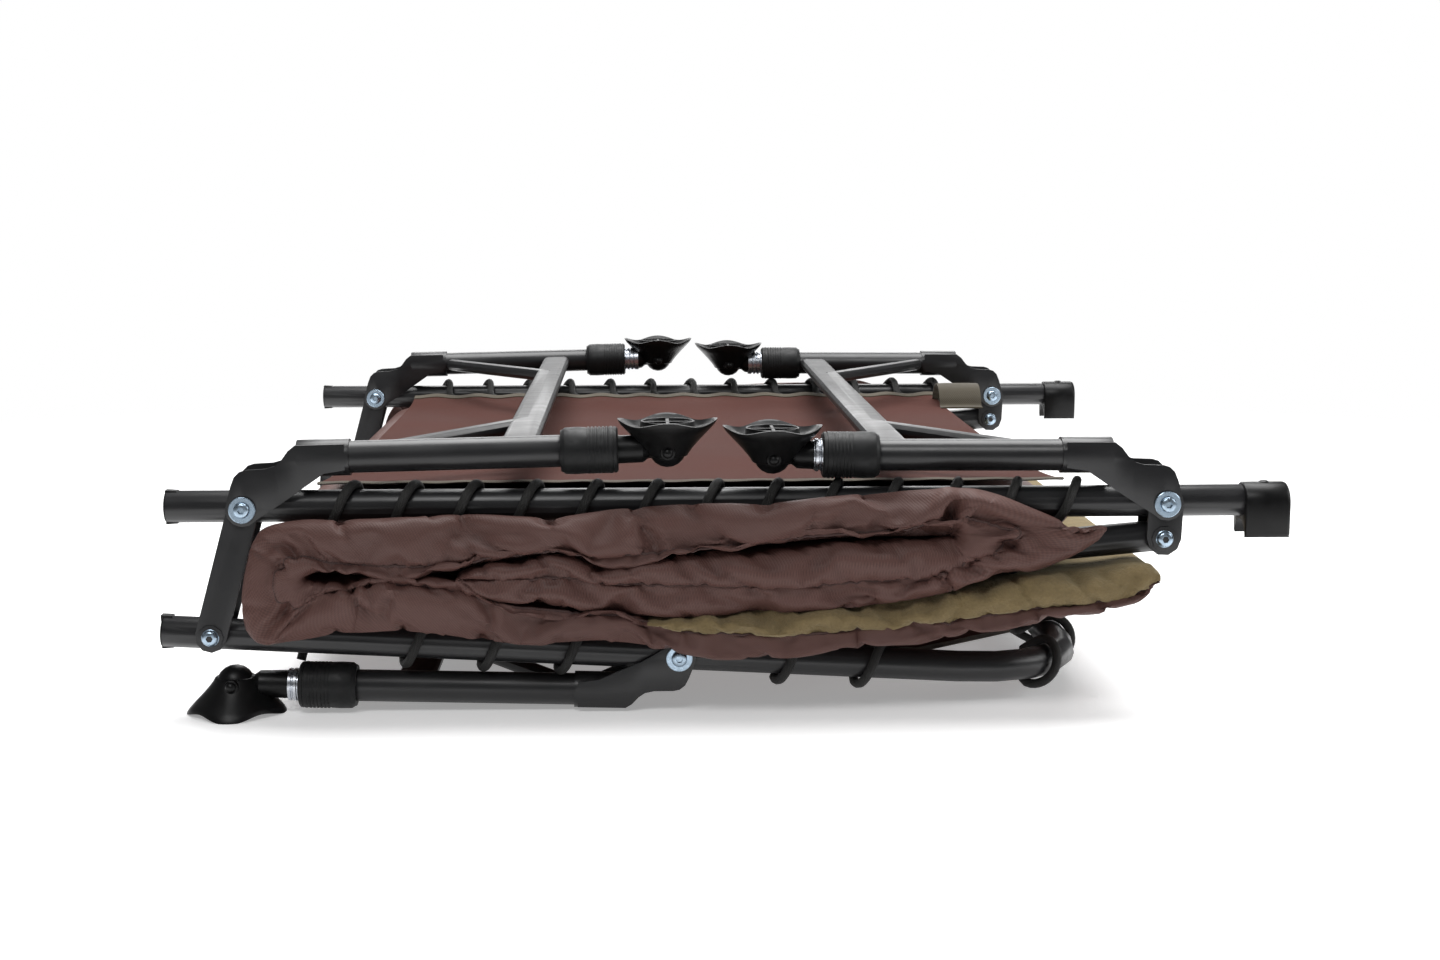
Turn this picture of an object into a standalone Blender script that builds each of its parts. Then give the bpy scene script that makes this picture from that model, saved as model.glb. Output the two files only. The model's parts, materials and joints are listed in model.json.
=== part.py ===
"""A three-section folding cot, folded flat and lying upside down, with its leg frames on top.

The middle section carries two leg frames. The head section hangs on long two-pivot links and carries
the third leg frame. The short foot section turns on short plates and is nested between the other two.
+X runs along the cot, +Y across it, +Z up. Everything is in metres.
"""
import math

import bmesh
import bpy
from mathutils import Matrix, Vector

UP = Vector((0.0, 0.0, 1.0))
GAP = 0.0003

# Frame tubes
TUBE_R = 0.0125
TUBE_WALL = 0.0015
RAIL_Y = 0.39
TUBE_SIDES = 16

# Middle section: its rails and the two pivots on them
MID_Z = 0.162
LEFT_PIVOT_X = -0.3695
RIGHT_PIVOT_X = 0.3395
MID_LEFT_X = -0.4295
MID_RIGHT_X = 0.4346

# Head section: it hangs 104 mm from the left pivot and runs under the others
HEAD_PIVOT = (-0.3975, 0.0625)
HEAD_DIP = 3.15
HEAD_STUB = 0.0385
HEAD_LENGTH = 0.68
HEAD_LEG_X = 0.36

# Foot section: it turns just under the right pivot
FOOT_PIVOT = (0.3385, 0.1344)
FOOT_DIP = 5.0
FOOT_STUB = 0.006
FOOT_LENGTH = 0.3875
CORNER_R = 0.10

# Pivots
BOLT_R = 0.004
HEAD_R = 0.006
WASHER_R = 0.010
PLATE = 0.003
PLATE_Y = 0.0130
CHEEK = 0.0025
UPPER_CHEEK_Y = 0.0163
LOWER_CHEEK_Y = 0.0130

# Leg frames, each in its own frame: +X along the leg from the pivot, +Z away from the rail
SLEEVE_R = 0.0143
SLEEVE_FROM = 0.041
SLEEVE_TO = 0.081
LEG_BORE_R = 0.0108
INNER_R = 0.0096
INNER_FROM = 0.10
NECK_R = 0.0075
BALL_R = 0.014
COLLAR_R = 0.0183
COLLAR_LENGTH = 0.044
COLLAR_ON_TUBE = 0.018
CROSSBAR_AT = 0.207
CROSSBAR_WIDE = 0.030
CROSSBAR_THICK = 0.012
BRACE_R = 0.0065
BRACE_Y = 0.218

# Each leg frame: pivot x and z, turns about Y and Z in degrees, axis offset, collar start, foot pin, cheek y
LEG_FRAMES = {
    "left": (LEFT_PIVOT_X, MID_Z, -1.3, 0.0, 0.036, 0.242, 0.324, UPPER_CHEEK_Y),
    "right": (RIGHT_PIVOT_X, MID_Z, -0.3, 180.0, 0.036, 0.2228, 0.305, UPPER_CHEEK_Y),
    "head": (None, None, 181.56, 0.0, 0.0295, 0.250, 0.344, LOWER_CHEEK_Y),
}

# Feet
FOOT_RISE = 0.022
FOOT_R = 0.0365
FOOT_WAVE = 0.0022

# Soft parts
CORD_R = 0.0025
LOOP_R = 0.01645
END_LOOP_R = 0.0211
END_LOOP_DROOP = 0.0026
HEM_REACH = 0.028
SLING_Y = 0.355
SLING_THICK = 0.002
STRAP_WIDE = 0.046
STRAP_X = 0.287
PAD_Y = 0.43
CHANNEL_FROM_Y = 0.358
CHANNEL_TO_Y = 0.412

COLOURS = {
    "black_steel": ((0.012, 0.012, 0.013), 0.38, 0.6),
    "zinc_steel": ((0.62, 0.63, 0.66), 0.30, 1.0),
    "black_plastic": ((0.012, 0.012, 0.012), 0.50, 0.0),
    "black_rubber": ((0.016, 0.016, 0.017), 0.75, 0.0),
    "brown_fabric": ((0.060, 0.030, 0.026), 0.85, 0.0),
    "olive_fleece": ((0.105, 0.080, 0.036), 0.95, 0.0),
    "olive_tape": ((0.070, 0.058, 0.030), 0.85, 0.0),
    "black_cord": ((0.010, 0.010, 0.010), 0.80, 0.0),
}


def clear_scene():
    for old in list(bpy.data.objects):
        bpy.data.objects.remove(old, do_unlink=True)


def new_collection(name):
    made = bpy.data.collections.new(name)
    bpy.context.scene.collection.children.link(made)
    return made


def material(name):
    made = bpy.data.materials.get(name)
    if made is None:
        colour, rough, metal = COLOURS[name]
        made = bpy.data.materials.new(name)
        made.use_nodes = True
        shader = made.node_tree.nodes["Principled BSDF"]
        shader.inputs["Base Color"].default_value = (*colour, 1.0)
        shader.inputs["Roughness"].default_value = rough
        shader.inputs["Metallic"].default_value = metal
    return made


def empty(name, location, turn_y=0.0, turn_z=0.0, parent=None):
    made = bpy.data.objects.new(name, None)
    PARTS.objects.link(made)
    made.location = location
    made.rotation_euler = (0.0, math.radians(turn_y), math.radians(turn_z))
    made.parent = parent
    return made


def mesh_object(name, mesh):
    made = bpy.data.objects.new(name, mesh)
    GUIDES.objects.link(made)
    return made


def baked(source):
    """A plain mesh of an object as its modifiers or its curve leave it; the object is removed."""
    bpy.context.view_layer.update()
    seen = source.evaluated_get(bpy.context.evaluated_depsgraph_get())
    mesh = bpy.data.meshes.new_from_object(seen)
    mesh.transform(source.matrix_world)
    name = source.name
    bpy.data.objects.remove(source, do_unlink=True)
    work = bmesh.new()
    work.from_mesh(mesh)
    bmesh.ops.remove_doubles(work, verts=work.verts, dist=0.000002)
    bmesh.ops.recalc_face_normals(work, faces=work.faces)
    work.to_mesh(mesh)
    work.free()
    return mesh_object(name, mesh)


def boolean(target, tool, operation):
    """Cuts or joins two plain meshes and removes the second."""
    modifier = target.modifiers.new("cut", "BOOLEAN")
    modifier.operation = operation
    modifier.solver = "EXACT"
    modifier.object = tool
    made = baked(target)
    bpy.data.objects.remove(tool, do_unlink=True)
    return made


def cut(target, *tools):
    for tool in tools:
        target = boolean(target, tool, "DIFFERENCE")
    return target


def join(target, *tools):
    for tool in tools:
        target = boolean(target, tool, "UNION")
    return target


def box(low, high):
    work = bmesh.new()
    bmesh.ops.create_cube(work, size=1.0)
    low, high = Vector(low), Vector(high)
    bmesh.ops.scale(work, vec=high - low, verts=work.verts)
    bmesh.ops.translate(work, vec=(low + high) / 2, verts=work.verts)
    mesh = bpy.data.meshes.new("box")
    work.to_mesh(mesh)
    work.free()
    return mesh_object("box", mesh)


def cylinder(radius, start, end, sides=TUBE_SIDES):
    """A solid cylinder from one point to another."""
    start, end = Vector(start), Vector(end)
    along = end - start
    work = bmesh.new()
    bmesh.ops.create_cone(
        work, cap_ends=True, segments=sides, radius1=radius, radius2=radius, depth=along.length
    )
    turn = along.to_track_quat("Z", "Y").to_matrix().to_4x4()
    place = Matrix.Translation((start + end) / 2)
    bmesh.ops.transform(work, matrix=place @ turn, verts=work.verts)
    mesh = bpy.data.meshes.new("cylinder")
    work.to_mesh(mesh)
    work.free()
    return mesh_object("cylinder", mesh)


def turned(profile, sides=TUBE_SIDES, axis="X"):
    """A closed turned solid. The profile is (along, radius) pairs that start and end on the axis, or
    that close on themselves as a ring."""
    ring = profile[0][1] > 0
    mesh = bpy.data.meshes.new("turned")
    points = [(radius, 0.0, along) for along, radius in profile]
    edges = [(i, i + 1) for i in range(len(points) - 1)]
    if ring:
        edges.append((len(points) - 1, 0))
    mesh.from_pydata(points, edges, [])
    made = mesh_object("turned", mesh)
    screw = made.modifiers.new("turn", "SCREW")
    screw.axis = "Z"
    screw.steps = sides
    screw.render_steps = sides
    screw.use_merge_vertices = True
    screw.merge_threshold = 0.00001
    made = baked(made)
    if axis == "X":
        made.data.transform(Matrix.Rotation(math.radians(90.0), 4, "Y"))
    elif axis == "Y":
        made.data.transform(Matrix.Rotation(math.radians(-90.0), 4, "X"))
    return made


def swept(points, radius, resolution):
    """A solid round bar along points."""
    curve = bpy.data.curves.new("swept", "CURVE")
    curve.dimensions = "3D"
    curve.bevel_depth = radius
    curve.bevel_resolution = resolution
    curve.use_fill_caps = True
    spline = curve.splines.new("POLY")
    spline.points.add(len(points) - 1)
    for place, point in zip(spline.points, points):
        place.co = (*point, 1.0)
    made = bpy.data.objects.new("swept", curve)
    GUIDES.objects.link(made)
    return baked(made)


def plate(outlines, thickness, middle_y):
    """A flat plate in the XZ plane from one outline and its holes, centred on middle_y."""
    curve = bpy.data.curves.new("plate", "CURVE")
    curve.dimensions = "2D"
    curve.fill_mode = "BOTH"
    curve.extrude = thickness / 2
    for outline in outlines:
        spline = curve.splines.new("POLY")
        spline.points.add(len(outline) - 1)
        for place, (x, z) in zip(spline.points, outline):
            place.co = (x, z, 0.0, 1.0)
        spline.use_cyclic_u = True
    made = bpy.data.objects.new("plate", curve)
    GUIDES.objects.link(made)
    made = baked(made)
    made.data.transform(Matrix.Rotation(math.radians(90.0), 4, "X"))
    made.data.transform(Matrix.Translation((0.0, middle_y, 0.0)))
    return made


def arc(centre, radius, start, end, steps):
    """Points on an arc, in degrees from +X towards +Z."""
    angles = [math.radians(start + (end - start) * i / steps) for i in range(steps + 1)]
    return [(centre[0] + radius * math.cos(a), centre[1] + radius * math.sin(a)) for a in angles]


def circle(centre, radius, sides=10):
    return arc(centre, radius, 0.0, 360.0 * (sides - 1) / sides, sides - 1)


def stadium(start, end, radius, steps=5):
    """The outline of a strip with round ends around two points."""
    along = math.degrees(math.atan2(end[1] - start[1], end[0] - start[0]))
    first = arc(start, radius, along + 90.0, along + 270.0, steps)
    return first + arc(end, radius, along - 90.0, along + 90.0, steps)


def moved(made, offset):
    made.data.transform(Matrix.Translation(offset))
    return made


def place(made, name, slot, parent, location=(0.0, 0.0, 0.0)):
    """Turns a finished mesh into a named part of the cot."""
    made.name = name
    made.data.name = name
    made.data.materials.clear()
    made.data.materials.append(material(slot))
    for old in list(made.users_collection):
        old.objects.unlink(made)
    PARTS.objects.link(made)
    made.parent = parent
    made.location = location
    made.data.shade_smooth()
    made.data.set_sharp_from_angle(angle=math.radians(35.0))
    return made


def pair(made, name, slot, parent, location=(0.0, 0.0, 0.0)):
    """The front and back copies of one mesh, at the two rails. A frame turned end for end has its
    front rail on its own +Y side."""
    x, y, z = location
    front = RAIL_Y if abs(parent.rotation_euler.z) > math.radians(90.0) else -RAIL_Y
    twin = bpy.data.objects.new(name + "_back", made.data)
    GUIDES.objects.link(twin)
    place(made, name + "_front", slot, parent, (x, y + front, z))
    place(twin, name + "_back", slot, parent, (x, y - front, z))


def across_hole(x, z=0.0, y=0.0, radius=BOLT_R + GAP):
    return cylinder(radius, (x, y - 0.03, z), (x, y + 0.03, z), 10)


def bolt(reach):
    """A pivot bolt across a rail: a shaft with a washer and a button head on each side."""
    shaft = reach + GAP
    washer = shaft + 0.0015
    head = washer + 0.0035
    half = [
        (shaft, BOLT_R), (shaft, WASHER_R), (washer, WASHER_R), (washer, HEAD_R),
        (head, HEAD_R * 0.8), (head, 0.0),
    ]
    profile = [(-a, r) for a, r in reversed(half)] + half
    return turned(profile, 10, "Y")


def end_cap():
    """A plastic plug with a flange and a small wedge lip, closing a tube that ends at x = 0."""
    bore = TUBE_R - TUBE_WALL - 2 * GAP
    plug = [
        (-0.0010, 0.0), (-0.0010, TUBE_R - 0.0006), (-0.0006, TUBE_R),
        (-GAP, TUBE_R), (-GAP, bore), (0.014, bore - 0.0004), (0.014, 0.0),
    ]
    return turned(plug, TUBE_SIDES, "X")


def build_rails(root):
    outer = cylinder(TUBE_R, (MID_LEFT_X, 0, 0), (MID_RIGHT_X, 0, 0))
    inner = cylinder(TUBE_R - TUBE_WALL, (MID_LEFT_X - 0.01, 0, 0), (MID_RIGHT_X + 0.01, 0, 0))
    rail = cut(outer, inner, across_hole(LEFT_PIVOT_X), across_hole(RIGHT_PIVOT_X))
    pair(rail, "mid_rail", "black_steel", root, (0.0, 0.0, MID_Z))
    pair(end_cap(), "mid_end_cap", "black_plastic", root, (MID_LEFT_X, 0.0, MID_Z))
    reach = UPPER_CHEEK_Y + CHEEK
    pair(bolt(reach), "left_pivot_bolt", "zinc_steel", root, (LEFT_PIVOT_X, 0.0, MID_Z))
    pair(bolt(reach), "right_pivot_bolt", "zinc_steel", root, (RIGHT_PIVOT_X, 0.0, MID_Z))


def build_saddles(root):
    """The plastic end of each middle rail, open underneath to seat the foot section's rail."""
    drop = MID_Z - FOOT_PIVOT[1]
    length, half, top, below = 0.0355, 0.0165, 0.0145, 0.0264
    start = MID_RIGHT_X + 0.003 - length
    body = box((start, -half, -below), (start + length, half, top))
    bore = cylinder(TUBE_R + GAP, (start - 0.01, 0, 0), (MID_RIGHT_X + GAP, 0, 0))
    seat_r = TUBE_R + 0.0004
    seat = cylinder(seat_r, (start - 0.01, 0, -drop), (start + length + 0.01, 0, -drop))
    mouth = box((start - 0.01, -seat_r, -below - 0.01), (start + length + 0.01, seat_r, -drop))
    saddle = cut(body, bore, seat, mouth)
    pair(saddle, "saddle", "black_plastic", root, (0.0, 0.0, MID_Z))


def pivot_plates(start, end, radius, holes, middle_y):
    """A front and a back plate around two pivots."""
    outline = [stadium(start, end, radius)] + [circle(h, BOLT_R + GAP) for h in holes]
    return [plate(outline, PLATE, side * middle_y) for side in (-1.0, 1.0)]


def plates_with_pin(start, end, radius, reach):
    """Two plates from start to end, made one piece by the pin at end."""
    front, back = pivot_plates(start, end, radius, [start], PLATE_Y + PLATE / 2)
    pin = moved(bolt(reach - GAP - 0.0002), (end[0], 0.0, end[1]))
    return join(pin, front, back)


def build_hinge_plates(root):
    """The short plates that hold the foot section under the right pivot."""
    start = (RIGHT_PIVOT_X, MID_Z)
    plates = plates_with_pin(start, FOOT_PIVOT, 0.0135, PLATE_Y + PLATE)
    pair(plates, "foot_hinge_plate", "black_steel", root)


def build_links(pivot):
    """The long links between the middle section and the head section."""
    start = (0.0, 0.0)
    end = (HEAD_PIVOT[0] - LEFT_PIVOT_X, HEAD_PIVOT[1] - MID_Z)
    pair(plates_with_pin(start, end, 0.012, PLATE_Y + PLATE), "head_link", "black_steel", pivot)


def u_path(stub, length):
    """The centre line of a U-shaped tube in its section's own frame, from front end to back end."""
    front = arc((length - CORNER_R, -RAIL_Y + CORNER_R), CORNER_R, -90.0, 0.0, 5)
    half = [(-stub, -RAIL_Y)] + front
    path = half + [(x, -y) for x, y in reversed(half)]
    return [(x, y, 0.0) for x, y in path]


def u_tube(stub, length, holes):
    path = u_path(stub, length)
    longer = [Vector(p) for p in path]
    longer[0].x -= 0.01
    longer[-1].x -= 0.01
    tube = cut(swept(path, TUBE_R, 4), swept(longer, TUBE_R - TUBE_WALL, 4))
    for x in holes:
        tube = cut(tube, across_hole(x, y=-RAIL_Y), across_hole(x, y=RAIL_Y))
    return tube


def cheeks(offset, cheek_y):
    """The two bent plates that join a leg's sleeve to its pivot."""
    shoulder = offset + SLEEVE_R * 0.8
    side = arc((0.0, 0.0), 0.013, 150.0, 320.0, 6)
    side += [(0.030, 0.004), (0.062, offset - SLEEVE_R * 0.75), (0.078, offset - SLEEVE_R * 0.6)]
    side += [(0.078, shoulder), (0.041, shoulder), (0.036, shoulder * 0.92), (0.031, shoulder * 0.78)]
    side += [(0.026, shoulder * 0.69), (0.019, shoulder * 0.65), (0.004, shoulder * 0.64)]
    side += [(-0.001, shoulder * 0.61), (-0.005, shoulder * 0.53), (-0.008, shoulder * 0.38)]
    made = []
    for sign in (-1.0, 1.0):
        outer = cheek_y + CHEEK
        inner_y = SLEEVE_R - CHEEK - 0.001
        plan = [(-0.02, cheek_y), (0.024, cheek_y), (0.042, inner_y), (0.085, inner_y)]
        plan += [(0.085, inner_y + CHEEK), (0.043, inner_y + CHEEK), (0.025, outer), (-0.02, outer)]
        strip = plate([plan], 0.12, 0.0)
        strip.data.transform(Matrix.Rotation(math.radians(-90.0 * sign), 4, "X"))
        outline = plate([side, circle((0.0, 0.0), BOLT_R + GAP)], 0.06, 0.0)
        made.append(boolean(outline, strip, "INTERSECT"))
    return made


def leg_tube(offset, collar_from, cheek_y):
    """A leg tube with its bracket welded on, in the leg frame."""
    end = collar_from + COLLAR_ON_TUBE
    profile = [
        (SLEEVE_FROM, 0.0), (SLEEVE_FROM, SLEEVE_R), (SLEEVE_TO, SLEEVE_R), (SLEEVE_TO, TUBE_R),
        (end, TUBE_R), (end, LEG_BORE_R), (SLEEVE_TO, LEG_BORE_R), (SLEEVE_TO, 0.0),
    ]
    tube = moved(turned(profile), (0.0, 0.0, offset))
    return join(tube, *cheeks(offset, cheek_y))


def crossbar(offset):
    """The flat bar between two legs with a thin brace to each bracket."""
    inside = RAIL_Y - TUBE_R - GAP
    half_w, half_t = CROSSBAR_WIDE / 2, CROSSBAR_THICK / 2
    flat = half_w - half_t
    section = stadium((-flat, 0.0), (flat, 0.0), half_t)
    bar = plate([section], 2 * inside, 0.0)
    bar = moved(bar, (CROSSBAR_AT, 0.0, offset))
    for side in (-1.0, 1.0):
        start = (0.088, side * 0.3725, offset)
        end = (CROSSBAR_AT, side * (BRACE_Y - 0.008), offset)
        bar = join(bar, cylinder(BRACE_R, start, end, 10))
    return bar


def inner_leg(offset, pin):
    """The sliding leg with its neck and ball."""
    profile = [(INNER_FROM, 0.0), (INNER_FROM, INNER_R), (pin - 0.030, INNER_R), (pin - 0.028, NECK_R)]
    first = math.degrees(math.asin(NECK_R / BALL_R))
    for angle in (first, 60.0, 90.0, 120.0, 150.0):
        turn = math.radians(angle)
        profile.append((pin - BALL_R * math.cos(turn), BALL_R * math.sin(turn)))
    profile.append((pin + BALL_R, 0.0))
    return moved(turned(profile), (0.0, 0.0, offset))


def collar(offset, start):
    """The twist clamp around the end of a leg tube."""
    end = start + COLLAR_LENGTH
    step = start + COLLAR_ON_TUBE + 0.001
    tube_bore, leg_bore = TUBE_R + GAP, INNER_R + GAP
    profile = [
        (start, tube_bore), (start, COLLAR_R - 0.001), (start + 0.002, COLLAR_R),
        (end - 0.002, COLLAR_R), (end, COLLAR_R - 0.002), (end, leg_bore),
        (step, leg_bore), (step, tube_bore),
    ]
    return moved(turned(profile), (0.0, 0.0, offset))


def foot(offset, pin, level):
    """A wide foot with a wavy rim, open towards the leg for the neck and the ball, turned level."""
    levels = [(-0.012, 0.0165), (0.0, 0.0180), (0.013, 0.028), (0.0195, FOOT_R - 0.001)]
    levels += [(FOOT_RISE, FOOT_R), (FOOT_RISE, FOOT_R - 0.004), (FOOT_RISE - 0.0025, FOOT_R - 0.007)]
    sides = 16
    work = bmesh.new()
    rings = []
    for height, radius in levels:
        share = max(0.0, (radius - 0.018) / (FOOT_R - 0.018))
        ring = []
        for i in range(sides):
            angle = 2 * math.pi * i / sides
            r = radius + FOOT_WAVE * share * math.cos(4 * angle)
            ring.append(work.verts.new((r * math.cos(angle), r * math.sin(angle), height)))
        rings.append(ring)
    for low, high in zip(rings, rings[1:]):
        for i in range(sides):
            j = (i + 1) % sides
            work.faces.new((low[i], low[j], high[j], high[i]))
    work.faces.new(list(reversed(rings[0])))
    work.faces.new(rings[-1])
    bmesh.ops.recalc_face_normals(work, faces=work.faces)
    mesh = bpy.data.meshes.new("foot")
    work.to_mesh(mesh)
    work.free()
    body = mesh_object("foot", mesh)
    pocket = BALL_R + 0.0014
    sphere = [(-pocket, 0.0)]
    sphere += [(-pocket * math.cos(math.radians(a)), pocket * math.sin(math.radians(a)))
               for a in range(30, 180, 30)]
    sphere += [(pocket, 0.0)]
    slot_y = 0.0105
    slot = box((-0.045, -slot_y, -0.02), (slot_y + 0.002, slot_y, NECK_R + 0.001))
    body = cut(body, slot, turned(sphere, TUBE_SIDES, "Z"))
    body.data.transform(Matrix.Rotation(math.radians(level), 4, "Y"))
    return moved(body, (pin, 0.0, offset))


def build_leg_frame(name, root):
    x, z, turn_y, turn_z, offset, collar_from, pin, cheek_y = LEG_FRAMES[name]
    if x is None:
        dip = math.radians(HEAD_DIP)
        x = HEAD_PIVOT[0] + HEAD_LEG_X * math.cos(dip)
        z = HEAD_PIVOT[1] - HEAD_LEG_X * math.sin(dip)
    pivot = empty(name + "_leg_pivot", (x, 0.0, z), turn_y, turn_z, root)
    pair(leg_tube(offset, collar_from, cheek_y), name + "_leg_tube", "black_steel", pivot)
    place(crossbar(offset), name + "_leg_crossbar", "black_steel", pivot)
    pair(inner_leg(offset, pin), name + "_inner_leg", "zinc_steel", pivot)
    pair(collar(offset, collar_from), name + "_collar", "black_rubber", pivot)
    pair(foot(offset, pin, 180.0 * round(turn_y / 180.0) - turn_y), name + "_foot", "black_plastic", pivot)


def lacing(stops, radius, droop=0.0):
    """A cord that loops once around a tube at each stop and runs along the hem between them.

    A stop is the tube's centre, the way along it and the way towards the hem there. The loops hang
    droop lower than a close loop."""
    points = []
    for centre, along, inward in stops:
        for step in range(8):
            angle = math.radians(22.5 + 45.0 * step)
            near = math.cos(angle)
            reach = HEM_REACH if near > 0.5 else radius * near
            if near > 0.5:
                reach *= near
            slide = along * (step - 3.5) * 0.0011
            rise = radius * math.sin(angle)
            if rise < -0.5 * radius:
                rise -= droop
            points.append(centre + slide + inward * reach + UP * rise)
    return swept(points, CORD_R, 0)


def rail_stops(xs, side):
    """Stops along the front (-1) or back (+1) rail of a section."""
    way = 1.0 if xs[-1] > xs[0] else -1.0
    along, inward = Vector((way, 0.0, 0.0)), Vector((0.0, -side, 0.0))
    return [(Vector((x, side * RAIL_Y, 0.0)), along, inward) for x in xs]


def end_stops(ys, length):
    """Stops across the cot along a section's end bar."""
    along, inward = Vector((0.0, 1.0, 0.0)), Vector((-1.0, 0.0, 0.0))
    return [(Vector((length, y, 0.0)), along, inward) for y in ys]


def corner_stop(length, side):
    """A stop in the middle of a section's front (-1) or back (+1) corner."""
    out = Vector((math.sqrt(0.5), side * math.sqrt(0.5), 0.0))
    centre = Vector((length - CORNER_R, side * (RAIL_Y - CORNER_R), 0.0)) + out * CORNER_R
    along = Vector((-side * out.y, side * out.x, 0.0)) * side
    return [(centre, along if side < 0 else -along, -out)]


def spaced(start, end, count):
    return [start + (end - start) * i / (count - 1) for i in range(count)]


def sheet(low_x, high_x, corner=0.0, thickness=SLING_THICK):
    """A flat layer between the rails, its corners cut away where the tube bends."""
    outline = [(low_x, -SLING_Y), (high_x - corner, -SLING_Y)]
    if corner:
        outline += [(high_x, -SLING_Y + corner), (high_x, SLING_Y - corner)]
    outline += [(high_x - corner, SLING_Y), (low_x, SLING_Y)]
    made = plate([outline], thickness, 0.0)
    made.data.transform(Matrix.Rotation(math.radians(-90.0), 4, "X"))
    return made


def slab(points, half_y):
    """A slab across the cot with the given outline in the XZ plane."""
    return plate([points], 2 * half_y, 0.0)


def channelled(body, x_range, z_range):
    """Cuts a channel over each rail and its lacing into a mattress section."""
    for side in (-1.0, 1.0):
        ys = sorted((side * CHANNEL_FROM_Y, side * CHANNEL_TO_Y))
        body = cut(body, box((x_range[0], ys[0], z_range[0]), (x_range[1], ys[1], z_range[1])))
    return body


def build_middle_soft(root):
    mid_level = empty("mid_level", (0.0, 0.0, MID_Z), parent=root)
    layer = moved(sheet(-0.300, 0.270), (0.0, 0.0, -0.003))
    place(layer, "mid_sling", "brown_fabric", mid_level)
    stops = spaced(-0.298, 0.262, 13)
    for side, name in ((-1.0, "front"), (1.0, "back")):
        cord = lacing(rail_stops(stops, side), LOOP_R)
        place(cord, "mid_lacing_" + name, "black_cord", mid_level)
    left, right, top = -0.340, 0.300, 0.155
    slope = math.tan(math.radians(FOOT_DIP))

    def over_foot(x, above):
        return x, FOOT_PIVOT[1] - slope * (FOOT_PIVOT[0] - x) + above

    outline = [(left + 0.012, top), (left, top - 0.014), (left, over_foot(left, 0.032)[1])]
    outline += [over_foot(left + 0.012, 0.0195), over_foot(0.010, 0.0195), over_foot(0.020, 0.0125)]
    outline += [over_foot(right, 0.0125), (right, top - 0.003), (right - 0.004, top)]
    body = slab(outline, PAD_Y)
    body = channelled(body, (left - 0.01, right + 0.01), (0.1402, 0.2))
    body = channelled(body, (-0.085, right + 0.01), (0.05, 0.2))
    place(body, "mid_mattress", "brown_fabric", root)


def build_strap(root):
    """The webbing loop that holds the folded cot shut, standing as an arch."""
    path = [(0.258, 0.1612), (0.268, 0.1620), (0.274, 0.172), (0.284, 0.181), (0.298, 0.1835)]
    path += [(0.314, 0.180), (0.324, 0.171), (0.330, 0.1620), (0.340, 0.1612)]
    half = 0.0008
    lower, upper = [], []
    for i, (y, z) in enumerate(path):
        before, after = path[max(i - 1, 0)], path[min(i + 1, len(path) - 1)]
        way = Vector((after[0] - before[0], after[1] - before[1])).normalized()
        upper.append((y - way.y * half, z + way.x * half))
        lower.append((y + way.y * half, z - way.x * half))
    made = plate([upper + lower[::-1]], STRAP_WIDE, 0.0)
    made.data.transform(Matrix.Rotation(math.radians(90.0), 4, "Z"))
    made = moved(made, (STRAP_X, 0.0, 0.0))
    place(made, "carry_strap", "olive_tape", root)


def build_head(root):
    links = empty("head_link_pivot", (LEFT_PIVOT_X, 0.0, MID_Z), parent=root)
    build_links(links)
    pivot = empty("head_section_pivot", (HEAD_PIVOT[0], 0.0, HEAD_PIVOT[1]), HEAD_DIP, parent=root)
    tube = u_tube(HEAD_STUB, HEAD_LENGTH, (0.0, HEAD_LEG_X))
    place(tube, "head_tube", "black_steel", pivot)
    pair(end_cap(), "head_end_cap", "black_plastic", pivot, (-HEAD_STUB, 0.0, 0.0))
    pair(bolt(LOWER_CHEEK_Y + CHEEK), "head_leg_bolt", "zinc_steel", pivot, (HEAD_LEG_X, 0.0, 0.0))
    place(sheet(0.10, HEAD_LENGTH - 0.036, 0.09), "head_sling", "brown_fabric", pivot)
    stops = spaced(0.182, 0.272, 3) + spaced(0.440, 0.560, 3)
    for side, name in ((-1.0, "front"), (1.0, "back")):
        place(lacing(rail_stops(stops, side), LOOP_R), "head_lacing_" + name, "black_cord", pivot)
    cord = lacing(end_stops(spaced(-0.27, 0.27, 9), HEAD_LENGTH), END_LOOP_R, END_LOOP_DROOP)
    place(cord, "head_lacing_end", "black_cord", pivot)
    start, end, low, high = 0.045, 0.722, 0.0040, 0.0275
    outline = [(start, low + 0.006), (start + 0.01, low), (end - 0.078, low + 0.02), (end, low + 0.022)]
    outline += [(end, high + 0.004), (end - 0.05, high + 0.004), (start + 0.01, high), (start, high - 0.006)]
    body = channelled(slab(outline, PAD_Y), (-0.1, HEAD_LENGTH - 0.02), (-0.05, 0.0222))
    place(body, "head_mattress", "olive_fleece", pivot)


def build_foot(root):
    pivot = empty("foot_section_pivot", (FOOT_PIVOT[0], 0.0, FOOT_PIVOT[1]), FOOT_DIP, 180.0, root)
    place(u_tube(FOOT_STUB, FOOT_LENGTH, (0.0,)), "foot_tube", "black_steel", pivot)
    place(sheet(0.11, FOOT_LENGTH - 0.036, 0.09), "foot_sling", "brown_fabric", pivot)
    xs = spaced(0.1235, 0.2635, 4)
    stops = rail_stops(xs, -1.0) + corner_stop(FOOT_LENGTH, -1.0)
    stops += end_stops(spaced(-0.23, 0.23, 7), FOOT_LENGTH)
    stops += corner_stop(FOOT_LENGTH, 1.0) + rail_stops(xs[::-1], 1.0)
    place(lacing(stops, LOOP_R), "foot_lacing", "black_cord", pivot)
    layer = sheet(0.050, FOOT_LENGTH - 0.038, 0.085, 0.010)
    place(moved(layer, (0.0, 0.0, 0.0065)), "foot_mattress", "olive_fleece", pivot)


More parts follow.
